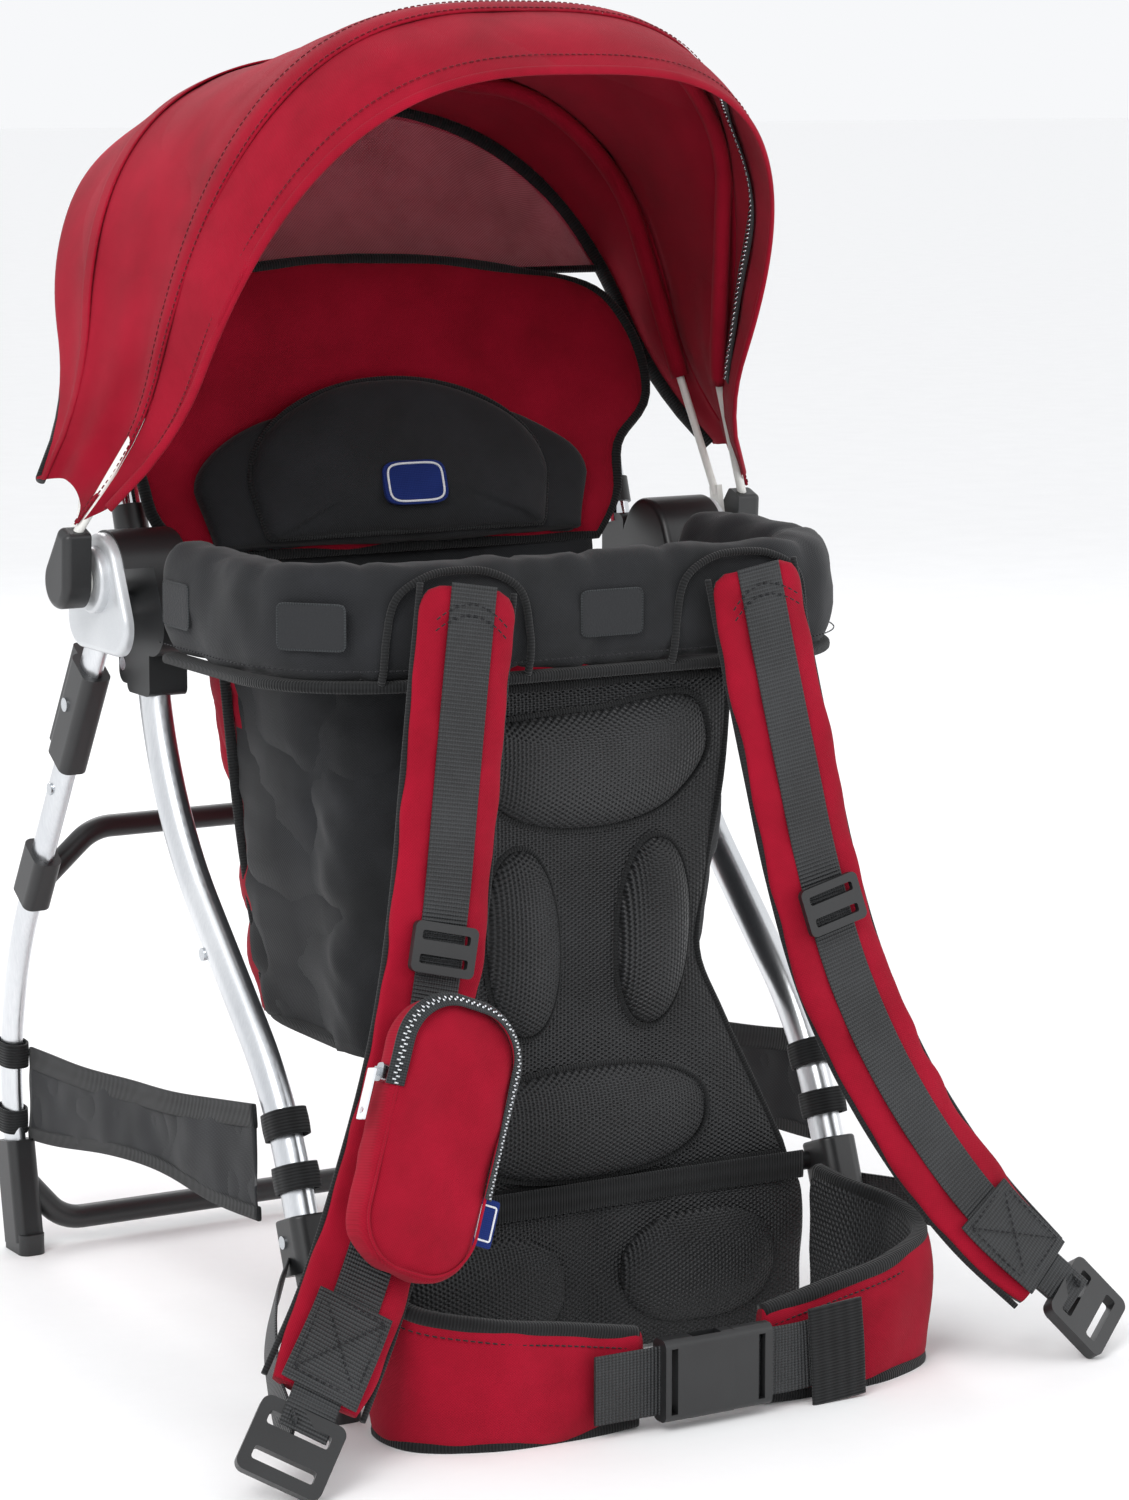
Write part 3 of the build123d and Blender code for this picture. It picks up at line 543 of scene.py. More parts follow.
def piping(name, route, radius, material, body, facing=UP, closed=False):
    """Round piping or a thin rod along a route."""
    if closed:
        route = np.vstack([route[-2:], route, route[:2]])
    rings = swept_rings(route, facing, oval(radius, radius, 2, 10))
    if closed:
        rings = rings[2:-2]
    return sleeve(name, rings, material, body, closed=closed)


def blocks(name, places, size, material, body):
    """Many small blocks in one piece: places are (centre, along, across, outward)."""
    points, faces, flat = [], [], []
    corners = [(a, b, c) for a in (-1, 1) for b in (-1, 1) for c in (-1, 1)]
    sides = [(0, 1, 3, 2), (4, 6, 7, 5), (0, 4, 5, 1), (2, 3, 7, 6), (0, 2, 6, 4), (1, 5, 7, 3)]
    for centre, along, across, outward in places:
        start = len(points)
        for a, b, c in corners:
            taper = 0.7 if c > 0 else 1.0
            points.append(
                centre + along * a * size[0] * taper + across * b * size[1] * taper + outward * c * size[2]
            )
        for side in sides:
            faces.append(tuple(start + q for q in side))
            flat.append(((0, 0), (0.001, 0), (0.001, 0.001), (0, 0.001)))
    return make_piece(name, points, faces, flat, material, body, None)


def row_of(route, facing, spacing, lift=0.0, sway=0.0):
    """Places at an even spacing along a route; sway moves them to alternate sides."""
    length = np.linalg.norm(np.diff(route, axis=0), axis=1).sum()
    count = max(int(length / spacing), 2)
    travelled = np.concatenate([[0], np.cumsum(np.linalg.norm(np.diff(route, axis=0), axis=1))])
    at = (np.arange(count) + 0.5) * length / count
    along, across, outward = frames(route, facing)
    places = []
    for i, s in enumerate(at):
        here, a, b, c = (
            np.array([np.interp(s, travelled, field[:, k]) for k in range(3)])
            for field in (route, along, across, outward)
        )
        places.append((here + c * lift + b * sway * (-1) ** i, unit(a), unit(b), unit(c)))
    return places


def stitching(name, route, facing, material, body, lift=0.4):
    """A row of 3 mm lockstitches that stand just proud of the cloth."""
    return blocks(name, row_of(route, facing, STITCH_SPACING, lift), STITCH, material, body)


def zip_fastener(name, route, facing, width, body):
    """Zip tape with its two rows of moulded teeth meshing in the middle."""
    tape = strip(name + "_tape", route, facing, oval(width / 2, 0.5, 4, 12), "tape", body)
    teeth = blocks(
        name + "_teeth", row_of(route, facing, TOOTH_SPACING, 0.9, 0.9), TOOTH, "zinc", body
    )
    return tape, teeth


def crumple(piece, size, depth, seed):
    """Moves a mesh's points along their normals by a smooth random amount, as slack cloth lies."""
    for vertex in piece.data.vertices:
        place = vertex.co / (size * MM) + Vector((seed, 2.7 * seed, -seed))
        vertex.co += vertex.normal * noise.noise(place) * depth * MM


def swell(piece, pressure, cap, sewn=None):
    """Inflates a closed pad by cloth simulation, so that its cover strains between its seams.

    sewn(point) says which points, in metres, are held by a seam. No point moves more than cap.
    """
    start = np.array([v.co for v in piece.data.vertices])
    modifier = piece.modifiers.new("cloth", "CLOTH")
    modifier.settings.use_pressure = True
    modifier.settings.uniform_pressure_force = pressure
    modifier.settings.effector_weights.gravity = 0
    modifier.settings.tension_stiffness = 12
    modifier.settings.bending_stiffness = 0.4
    modifier.point_cache.frame_start = 1
    modifier.point_cache.frame_end = SETTLE_FRAMES
    if sewn:
        group = piece.vertex_groups.new(name="sewn")
        group.add([i for i, place in enumerate(start) if sewn(place / MM)], 1.0, "REPLACE")
        modifier.settings.vertex_group_mass = "sewn"
    for step in range(1, SETTLE_FRAMES + 1):
        bpy.context.scene.frame_set(step)
    settled = piece.evaluated_get(bpy.context.evaluated_depsgraph_get())
    moved = np.array([v.co for v in settled.data.vertices]) - start
    piece.modifiers.clear()
    bpy.context.scene.frame_set(1)
    far = np.linalg.norm(moved, axis=1, keepdims=True)
    moved *= np.minimum(1.0, cap * MM / np.maximum(far, 1e-9))
    piece.data.vertices.foreach_set("co", (start + np.nan_to_num(moved)).ravel())
    piece.data.update()


def declare_cloth(grid):
    """Works out a sheet's flat size from its grid: its mean width, its mean length and its area, which are
    then dropped unused.
    """
    grid = np.asarray(grid) * MM
    width = np.linalg.norm(np.diff(grid, axis=1), axis=2).sum(axis=1).mean()
    length = np.linalg.norm(np.diff(grid, axis=0), axis=2).sum(axis=0).mean()
    a = grid[1:, :-1] - grid[:-1, :-1]
    b = grid[:-1, 1:] - grid[:-1, :-1]
    area = np.linalg.norm(np.cross(a, b), axis=2).sum()
    area = min(max(area, 0.31 * width * length), width * length)


# ---------------------------------------------------------------- canopy
BOW_PIVOT = np.array(JOINTS["rear_bow_tilt"]["pos_m"]) / MM
ARCH_POWER = 2 / 2.9
FLARE = 34.0
FLARE_HEIGHT = 100.0
HEM_TILT = 34.5
FRONT_BOW_TILT = 21.0
REAR_BOW_TILT = -12.0
BACK_TILT = -30.0
# (tilt in degrees, half width, height, foot) of the cloth's cross-sections, from the front hem to the back
CANOPY_SECTIONS = [
    (34.5, 196, 380, 58),
    (28, 202, 380, 48),
    (21, 206, 375, 40),
    (13, 206, 354, 50),
    (4, 208, 335, 62),
    (-5, 213, 326, 64),
    (-12, 216, 326, 64),
    (-21, 214, 327, 66),
    (-30, 213, 335, 70),
]


def canopy_arch(tilt, angles, lift=0.0):
    """One arch of the canopy, from its left foot to its right one."""
    sections = smooth_route(CANOPY_SECTIONS, 160)
    sections = sections[np.argsort(sections[:, 0])]
    half_width, height, foot = (np.interp(tilt, sections[:, 0], sections[:, k]) for k in (1, 2, 3))
    rise = np.clip(np.sin(angles), 0, 1) ** ARCH_POWER * (height + lift - foot)
    spread = FLARE * np.clip(1 - rise / FLARE_HEIGHT, 0, None) ** 2
    # creases that fan out from the bows' feet and die away up the sides
    crease = 1.5 * math.sin(tilt * 0.36) * np.clip(1 - rise / 230, 0, 1) ** 1.3
    half = np.abs(np.cos(angles)) ** ARCH_POWER * (half_width + lift) + spread + crease
    x = -np.sign(np.round(np.cos(angles), 9)) * half
    up = foot + rise
    lean = math.radians(tilt)
    y = BOW_PIVOT[1] - up * math.sin(lean)
    return np.stack([x, y, BOW_PIVOT[2] + up * math.cos(lean)], axis=1)


ARCH_ANGLES = math.pi * np.linspace(0, 1, 97)
ROD_CASING_FOOT = 66.0  # the rods are bare below this height in their own planes
WINDOW_FOOT = 206.0


def canopy_grid(tilts, lift=0.0):
    return np.array([canopy_arch(tilt, ARCH_ANGLES, lift) for tilt in tilts])


def out_from_canopy(route):
    """Directions out of the canopy's cloth along one of its arches."""
    return unit(route - np.array([0, BOW_PIVOT[1], BOW_PIVOT[2] + 130]))


def rod_route(node, lowest):
    """Middle line of a bow's rod above a height in its own plane, from its left side to its right one."""
    holder = frame["nodes"][node]
    points = np.array([holder.matrix_world @ v.co for v in holder.data.vertices]) / MM
    height = np.linalg.norm(points[:, 1:] - BOW_PIVOT[1:], axis=1)
    points, height = points[height > lowest], height[height > lowest]
    turn = np.degrees(np.arctan2(height - 150, -points[:, 0]) + math.pi / 2) % 360
    bins = np.round(turn / 4)
    middles = np.array([points[bins == b].mean(axis=0) for b in np.unique(bins)])
    middles[1:-1] = (middles[:-2] + 2 * middles[1:-1] + middles[2:]) / 4
    return smooth_route(middles, 130)


def make_rod_sleeves():
    """The casings inside the canopy that the rods run through."""
    for node in ("front_bow", "rear_bow"):
        route = rod_route(node, ROD_CASING_FOOT)
        strip(
            f"{node}_sleeve", route, out_from_canopy(route), oval(6.6, 5.2, 2.2, 18), "red", node,
        )


def make_canopy():
    make_rod_sleeves()
    visor_grid = canopy_grid(np.linspace(HEM_TILT, FRONT_BOW_TILT, 22))
    visor = cloth("visor_cloth", visor_grid, 1.3, "red", "front_bow")
    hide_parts("visor")
    crumple(visor, 90, 3.0, 1.0)
    declare_cloth(visor_grid)
    hem = canopy_arch(HEM_TILT, ARCH_ANGLES)
    strip(
        "visor_hem", hem, out_from_canopy(hem), oval(3.2, 1.7, 2.2, 14), "red", "front_bow"
    )
    inner_hem = canopy_arch(HEM_TILT - 2.2, ARCH_ANGLES, -0.9)
    stitching("visor_hem_stitches", inner_hem, out_from_canopy(inner_hem), "red_thread", "front_bow", 2.6)

    casing_grid = canopy_grid(np.linspace(FRONT_BOW_TILT + 2.0, FRONT_BOW_TILT - 2.0, 9), 1.4)
    bulge = 1.6 * np.cos(np.linspace(-math.pi / 2, math.pi / 2, 9))
    casing_grid += bulge[:, None, None] * np.array([out_from_canopy(row) for row in casing_grid])
    casing = cloth("front_bow_casing", casing_grid, 1.2, "red", "front_bow")
    declare_cloth(casing_grid)
    for name, tilt in (("front", FRONT_BOW_TILT + 1.6), ("rear", FRONT_BOW_TILT - 1.6)):
        seam = canopy_arch(tilt, ARCH_ANGLES, 2.2)
        stitching(f"casing_stitches_{name}", seam, out_from_canopy(seam), "red_thread", "front_bow", 1.0)

    front_grid = canopy_grid(np.linspace(FRONT_BOW_TILT, REAR_BOW_TILT, 46))
    front = cloth("canopy_front_cloth", front_grid, 1.3, "red", None)
    crumple(front, 110, 4.0, 2.0)
    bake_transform(front)
    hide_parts("canopy_front")
    declare_cloth(front_grid)

    rear_casing_grid = canopy_grid(np.linspace(REAR_BOW_TILT + 1.8, REAR_BOW_TILT - 1.8, 7), 1.8)
    rear_casing = cloth("rear_bow_casing", rear_casing_grid, 1.2, "red", "rear_bow")
    declare_cloth(rear_casing_grid)

    back_grid = canopy_grid(np.linspace(REAR_BOW_TILT, BACK_TILT, 28))
    back = cloth("canopy_rear_cloth", back_grid, 1.3, "red", None)
    crumple(back, 100, 3.0, 3.0)
    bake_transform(back)
    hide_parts("canopy_rear")
    declare_cloth(back_grid)

    back_arch = canopy_arch(BACK_TILT - 0.3, ARCH_ANGLES, -3.0)
    facing = out_from_canopy(back_arch)
    strip(
        "back_arch_binding", back_arch, facing, oval(5.0, 3.2, 2.4, 14), "binding", "frame",
    )
    make_rear_window()
    make_canopy_zip()


def make_rear_window():
    """Sheer panel that closes the back of the canopy above the backrest."""
    foot = WINDOW_FOOT
    arch = canopy_arch(BACK_TILT - 0.5, ARCH_ANGLES, -3.0)
    lean = math.radians(BACK_TILT - 0.5)
    up = (arch[:, 2] - BOW_PIVOT[2]) / math.cos(lean)
    columns = [k for k in range(len(arch)) if up[k] > foot + 4]
    rows = 26
    grid = np.zeros((rows, len(columns), 3))
    for j, k in enumerate(columns):
        for i in range(rows):
            share = i / (rows - 1)
            height = foot + (up[k] - foot) * share
            half = abs(arch[k, 0]) / 205
            bulge = 14 * math.sin(math.pi * share) * max(0.0, 1 - half**2)
            y = BOW_PIVOT[1] - height * math.sin(lean) + bulge
            grid[i, j] = (arch[k, 0], y, BOW_PIVOT[2] + height * math.cos(lean))
    window = cloth("canopy_window_voile", grid, 1.0, "voile", "frame")
    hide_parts("canopy_window")
    crumple(window, 70, 3.0, 4.0)
    declare_cloth(grid)
    piping("window_foot_binding", grid[0], 2.6, "binding", "frame", facing=(0, -1, 0.3))


def make_canopy_zip():
    """Zip inside the visor that joins it to the canopy, lying in slack waves."""
    angles = math.pi * np.linspace(0.04, 0.96, 150)
    turned = np.array([
        canopy_arch(27.0 + 1.7 * math.sin(i * 0.21) + 0.8 * math.sin(i * 0.087), angles[i:i + 1], -2.6)[0]
        for i in range(len(angles))
    ])
    facing = -out_from_canopy(turned)
    zip_fastener("canopy_zip", turned, facing, 13.0, "front_bow")


# ---------------------------------------------------------------- backrest and headrest
HOOP_BASE = np.array([0.0, 130.0, 486.0])
HOOP_LEAN = math.radians(18)
BACKREST_OFFSET = 22.0


def backrest_plane(lift):
    upward = np.array([0, math.sin(HOOP_LEAN), math.cos(HOOP_LEAN)])
    normal = np.array([0, -math.cos(HOOP_LEAN), math.sin(HOOP_LEAN)])
    return HOOP_BASE + normal * (BACKREST_OFFSET + lift), np.array([1.0, 0, 0]), upward, normal


def lay_out(plane, outline, lift=0.0):
    origin, across, upward, normal = plane
    return origin + outline[:, :1] * across + outline[:, 1:] * upward + normal * lift


def make_backrest():
    left = [
        (-150, -10), (-170, 18), (-176, 50), (-204, 82), (-205, 112), (-186, 150), (-120, 171), (-50, 181)
    ]
    half = smooth_route(left + [(0, 183)], 60)
    outline = np.vstack([half, (half[::-1] * [-1, 1])[1:]])
    outline = even_outline(outline, 140)
    plane = backrest_plane(-6)

    def drawn_in(points):
        # pulls towards the two lower corners and across the shoulders
        fold = np.exp(-((points[:, 1] - 118 - 0.1 * np.abs(points[:, 0])) / 9) ** 2)
        return 0.16 * fold

    backrest = pad("backrest_cover", plane, outline, 9, 4, 3.2, "red", "frame", drawn_in)
    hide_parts("backrest")
    crumple(backrest, 60, 4.0, 5.0)
    edge = lay_out(plane, outline, 1.0)
    piping(
        "backrest_binding", edge, 3.9, "binding", "frame", facing=plane[3], closed=True
    )


def dome(half_width, rise, foot, shoulder):
    """Half an ellipse on a short straight-sided foot."""
    angle = np.linspace(0, math.pi, 60)
    top = np.stack([half_width * np.cos(angle), shoulder + rise * np.sin(angle)], axis=1)
    return even_outline(np.vstack([top, [(-half_width + 8, foot), (half_width - 8, foot)]]), 120)


def make_headrest():
    gusset = pad(
        "headrest_gusset", backrest_plane(0.5), dome(142, 57, -8, 30), 15, 1, 5.0, "black", "frame",
    )
    crumple(gusset, 45, 3.0, 6.0)
    outline = dome(108, 67, -4, 30)
    plane = backrest_plane(12)
    cushion = pad("headrest_cushion", plane, outline, 17, 4, 3.0, "black", "frame")
    swell(cushion, 3.0, 5.0, lambda p: np.dot(p - plane[0], plane[3]) < 3)
    crumple(cushion, 55, 2.2, 7.0)
    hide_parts("headrest")
    edge = lay_out(plane, outline * 1.003, 2.0)
    piping(
        "headrest_piping", edge, 1.9, "binding", "frame", facing=plane[3], closed=True
    )
    make_label(plane)
    make_cabin_back()


def make_cabin_back():
    """Black lining from the headrest's foot down into the cabin."""
    top, _, upward, _ = backrest_plane(-3)
    rows, columns = 14, 40
    grid = np.zeros((rows, columns, 3))
    for i in range(rows):
        share = i / (rows - 1)
        for k, x in enumerate(np.linspace(-146, 146, columns)):
            start = top + upward * 8
            end = np.array([0, 106.0, 418.0])
            middle = start + (end - start) * share
            sag = 5 * math.sin(math.pi * share) * math.cos(x / 60)
            grid[i, k] = (x * (1 - 0.04 * share), middle[1] + sag, middle[2])
    lining = cloth("cabin_back_lining", grid, 1.4, "black", "frame")
    crumple(lining, 40, 3.0, 40.0)
    declare_cloth(grid)


def make_label(plane):
    """Plain woven patch with a white border, sewn to the middle of the headrest."""
    origin, across, upward, normal = plane
    on_front = (origin + normal * 20.5 + upward * 24, across, upward, normal)
    patch = oval(23, 14.5, 4.5, 64)
    pad("headrest_patch", on_front, patch, 1.2, 3, 8.0, "label", "frame")
    border = lay_out(on_front, patch * 0.86, 1.25)
    piping("headrest_patch_border", border, 0.75, "white", "frame", facing=normal, closed=True)


# ---------------------------------------------------------------- ring round the cabin
RING_LOW, RING_HIGH = (np.array(corner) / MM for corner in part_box("ring_pad"))
RING_Z = (RING_LOW[2] + RING_HIGH[2]) / 2
RING_DEPTH = 44.0
RING_SIDE_X = RING_HIGH[0] - RING_DEPTH / 2
RING_FRONT_Y = RING_LOW[1] + RING_DEPTH / 2
RING_CORNER = 68.0  # radius of the middle line at the front corners
RING_HALF_HEIGHT = 35.5


def ring_route(outward=0.0, z=0.0, step=5.5):
    """The ring's middle line, or a line that runs beside it, from its left end to its right one."""
    corner_y = RING_FRONT_Y + RING_CORNER
    corner_x = RING_SIDE_X - RING_CORNER
    radius = RING_CORNER + outward
    end = RING_HIGH[1]
    left = [(-RING_SIDE_X - outward, y) for y in np.linspace(end, corner_y, 16)]
    bend = [
        (-corner_x + radius * math.cos(a), corner_y + radius * math.sin(a))
        for a in np.linspace(math.pi, 1.5 * math.pi, 22)[1:]
    ]
    front = [(x, RING_FRONT_Y - outward) for x in np.linspace(-corner_x, 0, 22)[1:]]
    half = np.array(left + bend + front)
    flat = np.vstack([half, (half[::-1] * [-1, 1])[1:]])
    length = np.linalg.norm(np.diff(flat, axis=0), axis=1).sum()
    travelled = np.concatenate([[0], np.cumsum(np.linalg.norm(np.diff(flat, axis=0), axis=1))])
    at = np.linspace(0, length, int(length / step))
    x, y = (np.interp(at, travelled, flat[:, k]) for k in (0, 1))
    return np.stack([x, y, np.full(len(at), RING_Z + z)], axis=1)


PINCHES = (-205.0, -150.0, -52.0, -4.0, 52.0, 148.0, 210.0)  # along the ring, from its middle


def make_ring():
    route = ring_route()
    travelled = np.concatenate([[0], np.cumsum(np.linalg.norm(np.diff(route, axis=0), axis=1))])
    middle = travelled[-1] / 2
    section = oval(RING_DEPTH / 2 - 2, RING_HALF_HEIGHT, 3.0, 44)
    outlines = []
    for s in travelled:
        from_end = min(s, travelled[-1] - s)
        squeeze = 1 - 0.12 * math.exp(-from_end / 5)
        for place in PINCHES:
            squeeze -= 0.075 * math.exp(-((s - middle - place) / 5.5) ** 2)
        outlines.append(section * squeeze)
    ring = strip("ring_padding", route, UP, outlines, "black", "frame")
    near = [
        route[int(np.argmin(np.abs(travelled - middle - place)))][:2] for place in PINCHES
    ]
    swell(
        ring, 3.5, 4.0, lambda p: min(np.hypot(*(p[:2] - spot)) for spot in near) < 24 and p[2] > RING_Z + 20
    )
    crumple(ring, 32, 3.4, 8.0)
    crumple(ring, 11, 0.9, 9.0)
    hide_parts("ring_pad")
    bottom = ring_route(RING_DEPTH / 2 - 9, -36.5)
    strip("ring_hem", bottom, UP, oval(6.5, 3.6, 3, 16), "binding", "frame")
    hem_line = ring_route(RING_DEPTH / 2 - 1.2, -26.0)
    stitching("ring_hem_stitches", hem_line, frames(hem_line, UP)[1], "thread", "frame", 1.0)
    make_strap_mouths()
    make_hook_patches()


def make_strap_mouths():
    """Piped arches on the ring where the shoulder straps come out from under its flap."""
    for name, flip in SIDES:
        arch = [
            (-146, -34), (-145, -8), (-138, 18), (-118, 29), (-98, 31), (-78, 29), (-58, 18), (-51, -8),
            (-50, -34),
        ]
        line = smooth_route([(x, RING_LOW[1] - 0.6, RING_Z + z) for x, z in arch], 70)
        corner_x = RING_SIDE_X - RING_CORNER
        past = np.clip(-line[:, 0] - corner_x, 0, None)
        line[:, 1] += past**2 / (2 * (RING_CORNER + RING_DEPTH / 2))
        line[:, 1] += 5.5 * np.clip((np.abs(line[:, 2] - RING_Z) - 14) / 22, 0, 1) ** 2
        line = line * flip
        piping(
            f"strap_mouth_{name}", line, 2.3, "binding", "frame", facing=(0, -1, 0.05)
        )


def make_hook_patches():
    """Hook-and-loop patches sewn to the ring, with a bound edge."""
    route = ring_route(RING_DEPTH / 2 + 0.4)
    _, outward, _ = frames(route, UP)
    travelled = np.concatenate([[0], np.cumsum(np.linalg.norm(np.diff(route, axis=0), axis=1))])
    from_middle = travelled - travelled[-1] / 2
    for name, place, half in (("side", -330.0, 18.0), ("corner", -188.0, 21.0), ("middle", 4.0, 21.0)):
        i = int(np.argmin(np.abs(from_middle - place)))
        normal = outward[i]
        across = unit(np.cross(UP, normal))
        plane = (route[i] - normal * 0.8, across, UP, normal)
        pad(
            f"hook_patch_{name}", plane, oval(half, 13.5, 9, 56), 1.6, 2, 8.0, "hooks", "frame",
        )
        rim = lay_out(plane, even_outline(oval(half, 13.5, 12, 80), 60), 0.9)
        piping(f"hook_patch_{name}_edge", rim, 0.7, "tape", "frame", facing=normal, closed=True)


# ---------------------------------------------------------------- seat
SEAT_FOOT = (120, 90)  # half width and half depth of the seat at its base
SEAT_BACK_SHARE = 1.14  # the seat reaches further back than it does forwards
RED_FROM_Y = 60.0  # the seat's sides are red behind here


def make_seat():
    low, high = (np.array(corner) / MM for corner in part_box("seat_bag"))
    rows, columns = 44, 110
    grid = np.zeros((rows, columns, 3))
    for i in range(rows):
        share = i / (rows - 1)
        half_x = SEAT_FOOT[0] + 28 * share**0.8
        half_y = SEAT_FOOT[1] + 14 * share
        loop = oval(half_x, half_y, 5.0, columns)
        sag = 7 * math.sin(math.pi * share)
        for k, (x, y) in enumerate(loop):
            fold = 3.6 * math.sin(0.055 * y + 3.2 * share + 1.4 * math.sin(2.4 * share + x / 70))
            reach = 1 + (sag * 0.35 + fold) / max(half_x, 1)
            deep = SEAT_BACK_SHARE if y > 0 else 1.0
            grid[i, k] = (
                x * reach, -4 + 10 * share + y * reach * deep, low[2] + 1 + (high[2] - low[2] - 2) * share
            )
    bag = cloth(
        "seat_sides", grid, 2.0, ["black", "red"], "frame",
        kind_of=lambda p: 1 if p[1] > RED_FROM_Y else 0, wrap=True,
    )
    crumple(bag, 48, 9.0, 10.0)
    crumple(bag, 17, 2.4, 11.0)
    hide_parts("seat_bag")
    declare_cloth(np.concatenate([grid, grid[:, :1]], axis=1))
    floor = (np.array([0, -4.0, low[2] + 1]), np.array([1.0, 0, 0]), np.array([0, 1.0, 0]), UP)
    base = pad("seat_base", floor, oval(*SEAT_FOOT, 5, 100), 7, 5, 4.0, "red", "frame")
    rim = lay_out(floor, even_outline(oval(SEAT_FOOT[0] + 1, SEAT_FOOT[1] + 1, 5, 120), 110), 1.0)
    piping("seat_base_binding", rim, 4.2, "binding", "frame", facing=UP, closed=True)
    for name, flip in SIDES:
        edge = smooth_route([(-122, 58, low[2] + 6), (-139, 60, 308), (-150, 61, high[2] - 4)], 40) * flip
        piping(
            f"seat_corner_binding_{name}", edge, 3.4, "binding", "frame", facing=(1, 0, 0),
        )
        route = smooth_route([(-48, 84, 432), (-45, 76, 330), (-31, 56, 262), (-17, 28, 238)], 44) * flip
        strip(
            f"harness_strap_{name}", route, (0, -1, 0.6), oval(12.5, 1.1, 5, 20), "webbing", "frame",
        )
    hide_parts("harness_straps")


# ---------------------------------------------------------------- wearer's back panel
PANEL_FRONT_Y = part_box("back_panel")[0][1] / MM
FACING_WEARER = (np.array([1.0, 0, 0]), UP, np.array([0, -1.0, 0]))


def wear_plane(x, z, y):
    return (np.array([x, y, z], float), *FACING_WEARER)


def make_back_panel():
    side = smooth_route([(146, 112), (122, 160), (97, 209), (80, 248), (84, 292), (97, 360), (102, 422)], 60)
    outline = even_outline(np.vstack([side, side[::-1] * [-1, 1]]), 150) - [0, 267]
    plane = wear_plane(0, 267, PANEL_FRONT_Y + 6)
    panel = pad("back_panel_mesh", plane, outline, 6, 6, 6.0, "mesh", "frame")
    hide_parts("back_panel")
    crumple(panel, 60, 3.0, 12.0)
    edge = lay_out(plane, outline, 1.0)
    piping(
        "back_panel_binding", edge, 3.4, "binding", "frame", facing=plane[3], closed=True
    )
    top = smooth_route([(-80, 30), (0, 34), (80, 30), (84, 8), (62, -22), (0, -38), (-62, -22), (-84, 8)], 90)
    shapes = {
        "top": (0, 372, top),
        "left": (-46, 266, oval(25, 58, 2.2, 80) @ np.array([[1, 0.06], [-0.06, 1]])),
        "right": (46, 266, oval(25, 58, 2.2, 80) @ np.array([[1, -0.06], [0.06, 1]])),
        "bottom": (0, 150, oval(84, 35, 2.4, 90)),
    }
    for name, (x, z, shape) in shapes.items():
        here = wear_plane(x, z, PANEL_FRONT_Y + 1)
        bump = pad(
            f"back_pad_{name}", here, even_outline(shape, 90), 17, 3, 2.0, "mesh", "frame"
        )
        groove = lay_out(here, even_outline(shape, 90) * 1.03, 0.9)
        piping(f"back_pad_{name}_seam", groove, 1.7, "binding", "frame", facing=here[3], closed=True)
    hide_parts("back_pads")


def make_lumbar():
    low, high = (np.array(corner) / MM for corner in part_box("lumbar_pad"))
    middle = (low + high) / 2
    plane = wear_plane(0, middle[2], middle[1])
    outline = even_outline(oval(high[0], (high[2] - low[2]) / 2, 7, 160), 150)

    def quilted(points):
        return 0.45 * np.exp(-(points[:, 0] / 14) ** 2)

    lumbar = pad("lumbar_mesh", plane, outline, 11, 10, 4.0, "mesh", "frame", quilted)
    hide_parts("lumbar_pad")
    crumple(lumbar, 50, 4.0, 13.0)
    for name, x in (("left", -76), ("right", 76)):
        here = wear_plane(x, middle[2] - 4, low[1] + 2)
        bump = pad(
            f"lumbar_cushion_{name}", here, oval(56, 36, 2.4, 80), 15, 3, 2.0, "mesh", "frame",
        )
    band = np.stack(
        [np.linspace(-152, 152, 80), np.full(80, low[1] - 0.5), np.full(80, high[2] - 3.0)], axis=1
    )
    band[:, 1] += 3 * np.sin(band[:, 0] / 40) * 0.4
    strip("lumbar_seam_band", band, (0, -1, 0), oval(9, 1.4, 4, 20), "binding", "frame")


# ---------------------------------------------------------------- waist belt
WING_LINE = [
    (-159, -152, 52), (-164, -180, 50), (-181, -206, 46), (-178, -238, 42),
    (-140, -262, 38), (-90, -268, 34), (-44, -268, 31),
]
WING_HALF_HEIGHTS = (51, 49, 45, 41, 37, 33, 27)
WING_HALF_THICKNESS = 6.2
BELT_WEB_HALF_WIDTH = 21.0


